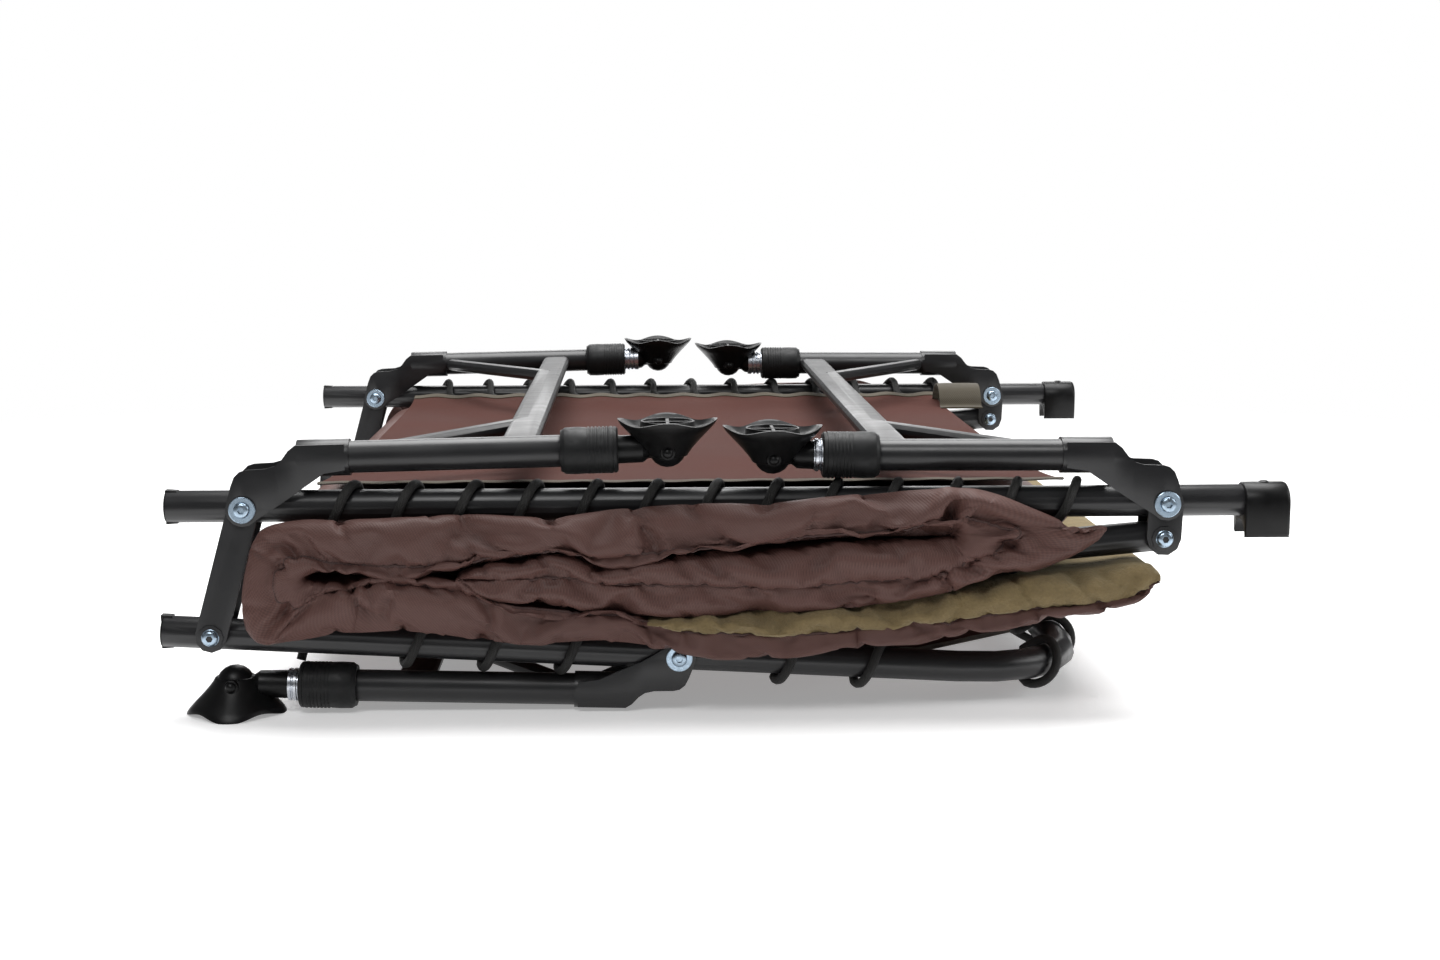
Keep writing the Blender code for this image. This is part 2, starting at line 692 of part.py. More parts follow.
clear_scene()
PARTS = new_collection("folding_cot")
GUIDES = new_collection("guides")
cot = empty("folding_cot_origin", (0.0, 0.0, 0.0))
build_rails(cot)
build_saddles(cot)
build_hinge_plates(cot)
build_middle_soft(cot)
build_strap(cot)
for frame_name in LEG_FRAMES:
    build_leg_frame(frame_name, cot)
build_head(cot)
build_foot(cot)
bpy.context.view_layer.update()
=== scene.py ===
"""The looks of a three-section folding cot that lies folded, upside down, with its leg frames on top.

The steel parts are smooth copies of the frame's own. The feet, collars, bolts, legs, cords and slings are
finer pieces that stand for the frame's, and the mattress is one long padded cloth, folded twice, that is
split where the sections turn.
"""
import json
from math import asin, atan, cos, exp, hypot, pi, radians, sin, sqrt, tan

import bmesh
import bpy
from mathutils import Matrix, Vector, noise


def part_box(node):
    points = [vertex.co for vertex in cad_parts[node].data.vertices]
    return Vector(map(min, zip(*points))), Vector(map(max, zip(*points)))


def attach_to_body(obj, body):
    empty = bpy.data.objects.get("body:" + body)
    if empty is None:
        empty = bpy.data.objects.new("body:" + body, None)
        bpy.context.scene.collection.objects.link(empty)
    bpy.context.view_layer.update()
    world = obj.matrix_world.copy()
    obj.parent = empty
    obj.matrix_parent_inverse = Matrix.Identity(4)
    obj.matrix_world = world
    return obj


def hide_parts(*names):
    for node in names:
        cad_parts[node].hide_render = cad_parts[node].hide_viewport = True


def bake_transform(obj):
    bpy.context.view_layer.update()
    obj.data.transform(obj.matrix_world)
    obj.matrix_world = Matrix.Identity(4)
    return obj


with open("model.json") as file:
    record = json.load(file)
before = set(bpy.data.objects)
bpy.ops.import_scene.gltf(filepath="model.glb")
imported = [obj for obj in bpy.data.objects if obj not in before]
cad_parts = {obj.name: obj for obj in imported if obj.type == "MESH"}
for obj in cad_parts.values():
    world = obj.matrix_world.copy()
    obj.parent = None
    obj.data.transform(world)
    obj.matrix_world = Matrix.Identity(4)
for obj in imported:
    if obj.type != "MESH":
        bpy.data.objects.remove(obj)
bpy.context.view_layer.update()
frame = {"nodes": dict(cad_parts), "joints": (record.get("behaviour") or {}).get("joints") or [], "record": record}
NODES = frame["nodes"]
JOINTS = {joint["name"]: joint for joint in frame["joints"]}
SIDES = (("front", -1.0), ("back", 1.0))
UP = Vector((0.0, 0.0, 1.0))

# Rails and pivots, from the frame
RAIL_Y = (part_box("mid_rail_front")[0].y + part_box("mid_rail_front")[1].y) / -2
TUBE_R = (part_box("mid_rail_front")[1].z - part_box("mid_rail_front")[0].z) / 2
MID_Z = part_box("mid_rail_front")[1].z - TUBE_R
LEFT_PIVOT = Vector(JOINTS["head_link_fold"]["pos_m"])
RIGHT_PIVOT = Vector(JOINTS["right_leg_fold"]["pos_m"])
HEAD_PIVOT = Vector(JOINTS["head_fold"]["pos_m"])
FOOT_PIVOT = Vector(JOINTS["foot_fold"]["pos_m"])
HEAD_LEG_PIVOT = Vector(JOINTS["head_leg_fold"]["pos_m"])
HEAD_SLOPE = (HEAD_LEG_PIVOT.z - HEAD_PIVOT.z) / (HEAD_LEG_PIVOT.x - HEAD_PIVOT.x)
FOOT_SLOPE = tan(radians(5.0))
HEAD_LENGTH, FOOT_LENGTH, CORNER_R = 0.68, 0.3875, 0.1

# Fittings
COLLAR_R, COLLAR_LENGTH = 0.0183, 0.044
INNER_R, THREAD_R, NECK_R, BALL_R = 0.0096, 0.0128, 0.0075, 0.0148
FOOT_R = 0.0362
PLAIN_NECK = 0.0225
DARK_NECKS = {("left", "front"): 0.044, ("right", "front"): 0.031, ("head", "front"): 0.041}
WASHER_R, SMALL_WASHER_R, BOLT_HEAD_R = 0.0102, 0.0068, 0.0062
BOLT_OUT_UPPER, BOLT_OUT_LOWER = 0.0191, 0.0163
EDGE_BREAK = 0.0004

# Cords and cloth
CORD_R = 0.0037
LOOP_R = TUBE_R + CORD_R + 0.0002
LOOP_SLANT, HEM_REACH = 0.027, 0.027
SLING_Y, SCALLOP = 0.357, 0.006
SAG, RIPPLE, PUCKER, SLING_CORNER = 0.0022, 0.0008, 0.0009, 0.09

# The lacing's turns round a rail: the first, the last and how many. They are places in x on the middle
# section, distances from the pivot on the other two, and places in y on the ends of the U tubes.
MID_TURNS, HEAD_TURNS, FOOT_TURNS = (-0.298, 0.262, 13), (0.156, 0.276, 3), (0.1235, 0.2635, 4)
HEAD_FAR_TURNS = [0.4455, 0.509]
HEAD_END_TURNS, FOOT_END_TURNS = (-0.27, 0.27, 9), (-0.23, 0.23, 7)

# The mattress's edge
MAT_EDGE_Y, MAT_BULGE = 0.4165, 0.015
MAT_LIMIT_Y = 0.4365
PIPING_R, MAT_FILL = 0.0011, 0.45
STEPS, WOOL_STEPS, CLOTH_STEPS = 14, 8, 13

# How the slack edges of the mattress settle
SETTLE_FRAMES = 14
SHIFT_CAP = 0.007
CLOTH = {"quality": 5, "mass": 0.25, "tension_stiffness": 12.0, "compression_stiffness": 12.0,
         "shear_stiffness": 4.0, "bending_stiffness": 6.0, "shrink_min": -0.06, "use_pressure": True,
         "uniform_pressure_force": 3.0, "vertex_group_mass": "held"}


def head_level(x):
    """The height of the head section's rails at x."""
    return HEAD_PIVOT.z + HEAD_SLOPE * (x - HEAD_PIVOT.x)


def foot_level(x):
    """The height of the foot section's rails at x."""
    return FOOT_PIVOT.z - FOOT_SLOPE * (FOOT_PIVOT.x - x)


# ---------------- materials

class Shader:
    """A material whose nodes are added one after another."""

    def __init__(self, name, colour, roughness, metallic=0.0):
        self.material = bpy.data.materials.new(name)
        self.material.use_nodes = True
        self.tree = self.material.node_tree
        self.bsdf = self.tree.nodes["Principled BSDF"]
        self.colour = colour
        self.bsdf.inputs["Base Color"].default_value = (*colour, 1.0)
        self.bsdf.inputs["Roughness"].default_value = roughness
        self.bsdf.inputs["Metallic"].default_value = metallic
        self.place = self.tree.nodes.new("ShaderNodeTexCoord")

    def set(self, **inputs):
        for key, value in inputs.items():
            self.bsdf.inputs[key.replace("_", " ")].default_value = value

    def link(self, value, socket):
        self.tree.links.new(value, socket)

    def node(self, kind, **inputs):
        made = self.tree.nodes.new(kind)
        for key, value in inputs.items():
            socket = made.inputs[int(key[1:])] if key[0] == "_" else made.inputs[key.replace("_", " ")]
            if isinstance(value, bpy.types.NodeSocket):
                self.link(value, socket)
            else:
                socket.default_value = value
        return made

    def maths(self, operation, first, second=0.0, third=0.0):
        made = self.node("ShaderNodeMath", _0=first, _1=second, _2=third)
        made.operation = operation
        return made.outputs[0]

    def noise(self, scale, detail=3.0, stretch=None):
        where = self.place.outputs["Object"]
        if stretch:
            where = self.node("ShaderNodeMapping", Vector=where, Scale=stretch).outputs[0]
        return self.node("ShaderNodeTexNoise", Vector=where, Scale=scale, Detail=detail).outputs["Fac"]

    def ramp(self, value, low, high, out_low, out_high):
        made = self.node("ShaderNodeMapRange", Value=value, From_Min=low, From_Max=high,
                         To_Min=out_low, To_Max=out_high)
        return made.outputs[0]

    def shades(self, factor, dark, light):
        """Colour that runs from dark to light times the base colour."""
        low, high = ((*(c * scale for c in self.colour), 1.0) for scale in (dark, light))
        made = self.node("ShaderNodeMix", _0=factor, _6=low, _7=high)
        made.data_type = "RGBA"
        self.link(made.outputs[2], self.bsdf.inputs["Base Color"])

    def rough(self, factor):
        self.link(factor, self.bsdf.inputs["Roughness"])

    def bump(self, height, distance, strength=1.0, after=None):
        inputs = {"Height": height, "Distance": distance, "Strength": strength}
        if after is not None:
            inputs["Normal"] = after
        made = self.node("ShaderNodeBump", **inputs)
        self.link(made.outputs[0], self.bsdf.inputs["Normal"])
        return made.outputs[0]

    def surface(self, tone, wear, grain, stretch=None):
        """Clouds in the colour, worn gloss and a fine grain. Each starts with its noise's scale and, but for
        the grain, detail, and ends with its range."""
        self.shades(self.noise(*tone[:2]), *tone[2:])
        self.rough(self.ramp(self.noise(*wear[:2], stretch), *wear[2:]))
        self.bump(self.noise(grain[0], 2.0), *grain[1:])
        return self.material

    def threads(self, pitch, slant=0.0):
        """A woven height from 0 to 1, from the metres in the piece's own UV map."""
        split = self.node("ShaderNodeSeparateXYZ", Vector=self.place.outputs["UV"])
        turn = 2 * pi / pitch
        along, across = split.outputs[0], split.outputs[1]
        if slant:
            along = self.maths("MULTIPLY_ADD", across, slant, along)
        first = self.maths("SINE", self.maths("MULTIPLY", along, turn))
        second = self.maths("SINE", self.maths("MULTIPLY", across, turn))
        return self.maths("MULTIPLY_ADD", self.maths("MULTIPLY", first, second), 0.5, 0.5)


def painted_steel(name="powder_coated_steel", colour=(0.0125, 0.0125, 0.0135), low=0.3, high=0.42):
    made = Shader(name, colour, low)
    return made.surface((18.0, 4.0, 0.85, 1.25), (90.0, 5.0, 0.35, 0.75, low, high), (1500.0, 0.00006, 0.35),
                        stretch=(0.25, 1.0, 1.0))


def zinc(name="zinc_plate", colour=(0.66, 0.69, 0.74)):
    made = Shader(name, colour, 0.26, 1.0)
    return made.surface((160.0, 3.0, 0.72, 1.15), (400.0, 3.0, 0.3, 0.7, 0.2, 0.4), (900.0, 0.00004, 0.4))


def plastic():
    made = Shader("moulded_plastic", (0.004, 0.004, 0.0042), 0.34)
    made.set(Specular_IOR_Level=0.24)
    return made.surface((40.0, 3.0, 0.8, 1.3), (120.0, 4.0, 0.3, 0.7, 0.3, 0.44), (1100.0, 0.00008, 0.35))


def rubber():
    made = Shader("soft_grip_rubber", (0.0055, 0.0058, 0.0062), 0.5)
    made.set(Specular_IOR_Level=0.28, Sheen_Weight=0.05, Sheen_Roughness=0.5)
    return made.surface((30.0, 4.0, 0.85, 1.25), (200.0, 3.0, 0.3, 0.7, 0.42, 0.6), (1700.0, 0.00008, 0.4))


def oxford_cloth(name="brown_oxford_cloth", colour=(0.088, 0.042, 0.035), gloss=0.3, low=0.46, high=0.6):
    made = Shader(name, colour, low)
    made.set(Specular_IOR_Level=gloss, Sheen_Weight=0.1 * gloss, Sheen_Roughness=0.45,
             Sheen_Tint=(0.75, 0.6, 0.55, 1.0))
    weave = made.threads(0.0022, 0.35)
    cloudy = made.noise(9.0, 5.0)
    tone = made.maths("MULTIPLY_ADD", weave, 0.5, made.maths("MULTIPLY", cloudy, 0.5))
    made.shades(tone, 0.62, 1.4)
    made.rough(made.ramp(cloudy, 0.3, 0.7, low, high))
    crumple = made.bump(made.noise(120.0, 5.0), 0.0006, 0.35)
    made.bump(weave, 0.00035, 0.6, crumple)
    return made.material


def fleece():
    made = Shader("olive_fleece", (0.145, 0.103, 0.044), 0.95)
    made.set(Sheen_Weight=0.3, Sheen_Roughness=0.6, Sheen_Tint=(0.8, 0.74, 0.52, 1.0))
    pile = made.noise(420.0, 4.0)
    tufts = made.noise(95.0, 3.0)
    made.shades(made.maths("MULTIPLY_ADD", pile, 0.6, made.maths("MULTIPLY", tufts, 0.5)), 0.55, 1.45)
    first = made.bump(tufts, 0.0018, 0.7)
    made.bump(pile, 0.0011, 0.9, first)
    return made.material


def webbing(name="olive_webbing", colour=(0.046, 0.036, 0.019)):
    made = Shader(name, colour, 0.85)
    made.set(Sheen_Weight=0.2)
    ribs, cloudy = made.threads(0.0022), made.noise(60.0)
    made.shades(made.maths("MULTIPLY_ADD", ribs, 0.6, made.maths("MULTIPLY", cloudy, 0.4)), 0.6, 1.35)
    made.bump(ribs, 0.0005, 0.8)
    return made.material


def braid():
    """A braided cord: two sets of strands that cross, from the cord's own UV map."""
    made = Shader("braided_elastic", (0.012, 0.0118, 0.011), 0.62)
    split = made.node("ShaderNodeSeparateXYZ", Vector=made.place.outputs["UV"])
    along, around = split.outputs[0], split.outputs[1]
    strands = []
    for way in (1.0, -1.0):
        slanted = made.maths("MULTIPLY_ADD", around, way * 1.4, along)
        strands.append(made.maths("SINE", made.maths("MULTIPLY", slanted, 2 * pi / 0.0021)))
    height = made.maths("MAXIMUM", strands[0], strands[1])
    made.shades(made.ramp(height, -0.5, 1.0, 0.0, 1.0), 0.4, 1.7)
    made.bump(height, 0.0005, 0.8)
    return made.material


STEEL = painted_steel()
BRACKET = painted_steel("bracket_steel", (0.014, 0.014, 0.015), 0.42, 0.55)
ZINC = zinc()
WASHER = zinc("blue_zinc_plate", (0.38, 0.48, 0.58))
PLASTIC = plastic()
RUBBER = rubber()
RIVET = zinc("dark_rivet", (0.17, 0.17, 0.18))
BROWN = oxford_cloth()
# The sling is the mattress's brown cloth painted darker: painted shade that tones down its upturned face under the
# overhead softbox.
SLING = oxford_cloth("brown_sling_cloth", (0.07, 0.032, 0.027), 0.03, 0.7, 0.85)
# The piping's darker brown is partly the seam itself and partly painted shade: the shadow line that runs along
# each seam.
SEAM = oxford_cloth("brown_piping", (0.05, 0.025, 0.022))
FLEECE = fleece()
TAPE = webbing()
# The hem tape is the olive webbing painted lighter: painted light for the hem, which sits in shade along the
# rails.
HEM = webbing("olive_hem", (0.056, 0.043, 0.023))
CORD = braid()

SLOT_FINISH = {"black_steel": STEEL, "zinc_steel": ZINC, "black_plastic": PLASTIC, "black_rubber": RUBBER,
               "brown_fabric": BROWN, "olive_fleece": FLEECE, "olive_tape": TAPE, "black_cord": CORD}


# ---------------- mesh tools

def smooth_path(points, steps):
    """A Catmull-Rom curve through the points."""
    points = [Vector(p) for p in points]
    made = []
    for i in range(len(points) - 1):
        before = points[max(i - 1, 0)]
        start, end = points[i], points[i + 1]
        after = points[min(i + 2, len(points) - 1)]
        for step in range(steps):
            t = step / steps
            made.append(0.5 * (2 * start + (end - before) * t
                               + (2 * before - 5 * start + 4 * end - after) * t * t
                               + (3 * start - before - 3 * end + after) * t * t * t))
    made.append(points[-1])
    return made


def add_object(name, data):
    made = bpy.data.objects.new(name, data)
    bpy.context.scene.collection.objects.link(made)
    return made


def attach(made, body, slot, *nodes):
    """A piece's body, the slot of its finish, which is not used, and the CAD nodes that it stands for."""
    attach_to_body(made, body)
    if nodes:
        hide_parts(*nodes)


def piece(name, verts, faces, finishes, finish_of=None, uvs=None, sharp=40.0):
    """A smooth-shaded mesh object. uvs holds one pair for each corner of each face."""
    mesh = bpy.data.meshes.new(name)
    mesh.from_pydata([tuple(v) for v in verts], [], faces)
    for finish in finishes:
        mesh.materials.append(finish)
    if finish_of is not None:
        mesh.polygons.foreach_set("material_index", finish_of)
    if uvs is not None:
        layer = mesh.uv_layers.new(name="UVMap")
        layer.data.foreach_set("uv", [value for pair in uvs for value in pair])
    made = add_object(name, mesh)
    work = bmesh.new()
    work.from_mesh(mesh)
    bmesh.ops.recalc_face_normals(work, faces=work.faces)
    work.to_mesh(mesh)
    work.free()
    mesh.shade_smooth()
    mesh.set_sharp_from_angle(angle=radians(sharp))
    return made


def loft(name, rings, finishes, finish_of=None, sharp=40.0):
    """A capped surface over rings of the same number of points. UVs are metres along and around."""
    count = len(rings[0])
    verts = [p for ring in rings for p in ring]
    around = [0.0]
    for j in range(count):
        around.append(around[-1] + (rings[0][(j + 1) % count] - rings[0][j]).length)
    centres = [sum(ring, Vector()) / count for ring in rings]
    along = [0.0]
    for i in range(len(rings) - 1):
        along.append(along[-1] + (centres[i + 1] - centres[i]).length)
    faces, uvs, kinds = [], [], []
    for i in range(len(rings) - 1):
        for j in range(count):
            k = (j + 1) % count
            faces.append((i * count + j, i * count + k, (i + 1) * count + k, (i + 1) * count + j))
            uvs += [(along[i], around[j]), (along[i], around[j + 1]),
                    (along[i + 1], around[j + 1]), (along[i + 1], around[j])]
            kinds.append(finish_of(i, j) if finish_of else 0)
    for end in (0, len(rings) - 1):
        faces.append(tuple(end * count + j for j in range(count)))
        uvs += [(along[end] + p.y, p.z) for p in rings[end]]
        kinds.append(0)
    return piece(name, verts, faces, finishes, kinds, uvs, sharp)


def sweep(name, points, radius, finish, sides):
    """A round cord along points, without twist."""
    points = [Vector(p) for p in points]
    last = len(points) - 1
    up = Vector((0.31, 0.11, 0.94)).normalized()
    rings = []
    for i, point in enumerate(points):
        along = (points[min(i + 1, last)] - points[max(i - 1, 0)]).normalized()
        side = along.cross(up)
        if side.length < 0.05:
            side = along.cross(Vector((0.0, 1.0, 0.0)))
        side.normalize()
        up = side.cross(along).normalized()
        rings.append([point + radius * (side * cos(2 * pi * j / sides)
                                        + up * sin(2 * pi * j / sides)) for j in range(sides)])
    return loft(name, rings, [finish])


def lathe(name, profile, finishes, finish_of=None, sides=48, matrix=None, wave=None, sharp=35.0):
    """A turned solid around local X. The profile is (along, radius) pairs; a radius of 0 is a tip."""
    rings = []
    for along, radius in profile:
        ring = []
        for j in range(sides):
            angle = 2 * pi * j / sides
            r, a = (radius, along) if wave is None else wave(radius, along, angle)
            ring.append(Vector((a, max(r, 0.00002) * cos(angle), max(r, 0.00002) * sin(angle))))
        rings.append(ring)
    made = loft(name, rings, finishes, finish_of, sharp=sharp)
    if matrix is not None:
        made.data.transform(matrix)
    return made


def frame_matrix(origin, along, up=UP):
    """Local X along a direction, local Z towards up."""
    x = Vector(along).normalized()
    y = Vector(up).cross(x).normalized()
    z = x.cross(y)
    turn = Matrix((x, y, z)).transposed().to_4x4()
    return Matrix.Translation(origin) @ turn


def merge(name, objects):
    """Joins objects into the first one."""
    first = objects[0]
    work = bmesh.new()
    finishes = []
    for made in objects:
        start = len(work.faces)
        work.from_mesh(made.data)
        work.faces.ensure_lookup_table()
        own = list(made.data.materials)
        finishes += [finish for finish in own if finish not in finishes]
        for face in work.faces[start:]:
            face.material_index = finishes.index(own[face.material_index])
    work.to_mesh(first.data)
    work.free()
    first.data.materials.clear()
    for finish in finishes:
        first.data.materials.append(finish)
    for made in objects[1:]:
        bpy.data.objects.remove(made, do_unlink=True)
    first.name = name
    return first


# ---------------- frame parts

def softened(name, source, finish):
    """A copy of a CAD part with shared corners, smooth round faces and slightly broken edges."""
    work = bmesh.new()
    work.from_mesh(source.data)
    work.transform(source.matrix_world)
    bmesh.ops.remove_doubles(work, verts=work.verts, dist=1e-6)
    bmesh.ops.dissolve_limit(work, angle_limit=radians(0.5), verts=work.verts, edges=work.edges)
    sharp = [e for e in work.edges if e.is_manifold and e.calc_face_angle(0.0) > radians(36.0)]
    bmesh.ops.bevel(work, geom=sharp, offset=EDGE_BREAK, segments=2, profile=0.5, affect="EDGES",
                    clamp_overlap=True)
    bmesh.ops.triangulate(work, faces=work.faces)
    work.verts.index_update()
    verts = [v.co.copy() for v in work.verts]
    faces = [[v.index for v in face.verts] for face in work.faces]
    work.free()
    return piece(name, verts, faces, [finish], sharp=32.0)


def dress_frame():
    """Gives every CAD part its finish, and puts a softened copy in place of the plain steel ones."""
    behaviour = frame["record"]["behaviour"]
    body_of = {node: body for body, nodes in behaviour["bodies"].items() for node in nodes}
    for part in frame["record"]["subparts"]:
        name = part["node"]
        source = NODES[name]
        finish = BRACKET if "link" in name or "plate" in name else SLOT_FINISH[part["material_slot"]]
        source.data.materials.clear()
        source.data.materials.append(finish)
        if any(kind in name for kind in ("rail", "tube", "crossbar", "cap", "link", "plate")):
            made = softened(name + "_finish", source, finish)
            attach(made, body_of[name], part["material_slot"], name)


# ---------------- fittings

def bolt_head(name, matrix, washer_r):
    """A washer and a domed head with a hexagonal socket; local X points out of the washer."""
    disc = [(0.0, 0.0), (0.0, washer_r - 0.0003), (0.0003, washer_r), (0.0013, washer_r),
            (0.0017, washer_r - 0.0005), (0.0017, 0.0)]
    washer = lathe(name + "_washer", disc, [WASHER], sides=40)
    dome = [(0.0015, 0.0), (0.0015, BOLT_HEAD_R), (0.0024, BOLT_HEAD_R)]
    for step in range(1, 6):
        angle = radians(90.0 * step / 6)
        dome.append((0.0024 + 0.0027 * sin(angle), 0.003 + (BOLT_HEAD_R - 0.003) * cos(angle)))
    dome += [(0.0051, 0.0027), (0.0033, 0.0025), (0.0033, 0.0)]

    def hexagon(radius, along, angle):
        if radius > 0.0028 or radius == 0.0:
            return radius, along
        return radius * cos(pi / 6) / cos(angle % (pi / 3) - pi / 6), along

    head = lathe(name + "_head", dome, [ZINC], sides=36, wave=hexagon, sharp=30.0)
    made = merge(name, [washer, head])
    made.data.transform(matrix)
    return made


def build_bolts():
    """Bolt heads on both sides of each rail. The last two kinds aren't nodes of their own."""
    rows = [("left_pivot_bolt", "mid_frame", LEFT_PIVOT, BOLT_OUT_UPPER, True),
            ("right_pivot_bolt", "mid_frame", RIGHT_PIVOT, BOLT_OUT_UPPER, True),
            ("head_leg_bolt", "head_section", HEAD_LEG_PIVOT, BOLT_OUT_LOWER - 0.0005, True),
            ("link_end_bolt", "head_links", HEAD_PIVOT, BOLT_OUT_LOWER, False),
            ("foot_hinge_bolt", "mid_frame", FOOT_PIVOT, BOLT_OUT_LOWER, False)]
    for name, body, pivot, out, own_node in rows:
        for side, sign in SIDES:
            heads = []
            for way in (-1.0, 1.0):
                centre = Vector((pivot.x, sign * RAIL_Y + way * out, pivot.z))
                heads.append(bolt_head(name, frame_matrix(centre, (0.0, way, 0.0)),
                                       WASHER_R if own_node else SMALL_WASHER_R))
            made = merge(f"{name}_{side}_heads", heads)
            attach(made, body, "zinc_steel", *([f"{name}_{side}"] if own_node else []))


def build_collar(name, matrix):
    """A rubber-covered twist clamp, with fine ribs near its foot end."""
    r = COLLAR_R
    profile = [(0.0, TUBE_R + 0.0002), (0.0, r - 0.0024), (0.0016, r - 0.0018), (0.0022, r - 0.0012),
               (0.0034, r - 0.0004), (0.012, r - 0.0001), (0.019, r - 0.0004)]
    for rib in range(6):
        start = 0.02 + 0.0028 * rib
        profile += [(start, r - 0.0009), (start + 0.0006, r - 0.0009), (start + 0.0009, r - 0.0001),
                    (start + 0.0022, r - 0.0001), (start + 0.0026, r - 0.0009)]
    profile += [(0.0385, r), (0.04, r - 0.0002), (0.0402, r - 0.001), (0.0408, r - 0.001),
                (0.041, r - 0.0003), (0.0428, r - 0.0006), (COLLAR_LENGTH, r - 0.0022),
                (COLLAR_LENGTH, INNER_R + 0.0003)]

    def fade(radius, along, angle):
        """The ribs die out towards the back of the grip."""
        if 0.0195 < along < 0.0368:
            share = max(0.0, cos(angle)) ** 0.5
            radius = r - 0.0002 - (r - 0.0002 - radius) * (0.25 + 0.75 * share)
        return radius, along

    made = lathe(name + "_grip", profile, [RUBBER], sides=56, matrix=matrix, wave=fade)
    attach(made, name, "black_rubber", name)


def build_inner_leg(name, matrix, dark):
    """The sliding leg from its foot end: a ringed zinc thread, a dark neck of a given length and the ball."""
    from_ball = [(-0.205, 0.0), (-0.205, INNER_R), (-0.0492, INNER_R)]
    for ring in range(6):
        start = -0.049 + 0.0042 * ring
        from_ball += [(start, THREAD_R - 0.0012), (start + 0.0007, THREAD_R - 0.0012),
                      (start + 0.0012, THREAD_R), (start + 0.0034, THREAD_R)]
    from_ball = [point for point in from_ball if point[0] < -dark - 0.001]
    zinc_rings = len(from_ball)
    from_ball += [(-dark - 0.0005, from_ball[-1][1]), (-dark, NECK_R + 0.0036), (-0.019, NECK_R + 0.003),
                  (-0.015, NECK_R)]
    first = asin(NECK_R / BALL_R)
    for step in range(9):
        angle = first + (pi - first) * step / 8
        from_ball.append((-BALL_R * cos(angle), BALL_R * sin(angle)))
    made = lathe(name + "_leg", from_ball, [ZINC, PLASTIC], lambda i, j: 0 if i < zinc_rings else 1,
                 sides=40, matrix=matrix)
    attach(made, name, "zinc_steel", name)


def build_foot(name, matrix):
    """A wide foot: a socket around the ball, a flared skirt with a wavy rim, and a ribbed sole."""
    skirt = [(-0.0056, 0.0), (-0.0056, 0.015), (-0.005, 0.0158), (-0.003, 0.0168), (0.0, 0.019),
             (0.005, 0.023), (0.01, 0.0273), (0.0145, 0.0313), (0.018, 0.0343), (0.0206, 0.0358),
             (0.022, FOOT_R), (0.0222, FOOT_R - 0.0012), (0.021, FOOT_R - 0.0024), (0.018, 0.0312),
             (0.015, 0.027), (0.0138, 0.02), (0.0138, 0.0212), (0.0208, 0.0209), (0.0214, 0.0204),
             (0.0214, 0.0192), (0.0208, 0.0187), (0.0138, 0.0184), (0.0134, 0.0)]

    def lobes(radius, along, angle):
        share = max(0.0, (radius - 0.0205) / (FOOT_R - 0.0205)) if along > 0.0 else 0.0
        wave = cos(4 * angle)
        dent = -0.0016 * exp(-((along - 0.009) / 0.006) ** 2) * (1 - wave) / 2
        return (radius + 0.0024 * share * wave + dent * (radius > 0.018),
                along + share * (0.0012 * wave - 0.002 * (1 - wave) / 2))

    made = [lathe(name + "_skirt", skirt, [PLASTIC], sides=72, wave=lobes, sharp=50.0)]
    half, width = 0.019, 0.0012
    for turn in (0.0, 90.0):
        rib = [Vector((0.013, y * half, x * width)) for y, x in ((-1, -1), (1, -1), (1, 1), (-1, 1))]
        top = [Vector((0.0208, p.y, p.z)) for p in rib]
        bar = loft(name + "_rib", [rib, top], [PLASTIC])
        bar.data.transform(Matrix.Rotation(radians(turn), 4, "X"))
        made.append(bar)
    dome = [(0.0, 0.0), (0.0, 0.0056), (0.0046, 0.0052), (0.005, 0.0042), (0.0062, 0.0038), (0.0076, 0.0025),
            (0.0082, 0.0)]
    for way in (-1.0, 1.0):
        boss = lathe(name + "_rivet", dome, [PLASTIC, RIVET], lambda i, j: 1 if i > 2 else 0, sides=24)
        boss.data.transform(frame_matrix((-0.001, way * 0.0155, 0.0), (-0.1, way, 0.0)))
        made.append(boss)
    whole = merge(name + "_mud_foot", made)
    whole.data.transform(matrix)
    attach(whole, name, "black_plastic", name)


def build_leg_fittings():
    """The collar, the inner leg and the foot of each of the six legs, from the frame's joints."""
    for frame_name in ("left", "right", "head"):
        for side, sign in SIDES:
            base = f"{frame_name}_{{}}_{side}"
            inner, collar, foot = (base.format(kind) for kind in ("inner_leg", "collar", "foot"))
            outward = Vector(JOINTS[inner + "_slide"]["axis"])
            centre = Vector(JOINTS[collar + "_twist"]["pos_m"])
            pin = Vector(JOINTS[foot + "_tilt"]["pos_m"])
            sole = -UP if frame_name == "head" else UP
            view_side = Vector((0.0, sign, 0.0))
            start = centre - outward * COLLAR_LENGTH / 2
            build_collar(collar, frame_matrix(start, outward, view_side))
            dark = DARK_NECKS.get((frame_name, side), PLAIN_NECK)
            build_inner_leg(inner, frame_matrix(pin, outward), dark)
            build_foot(foot, frame_matrix(pin, sole, Vector((1.0, 0.0, 0.0))))


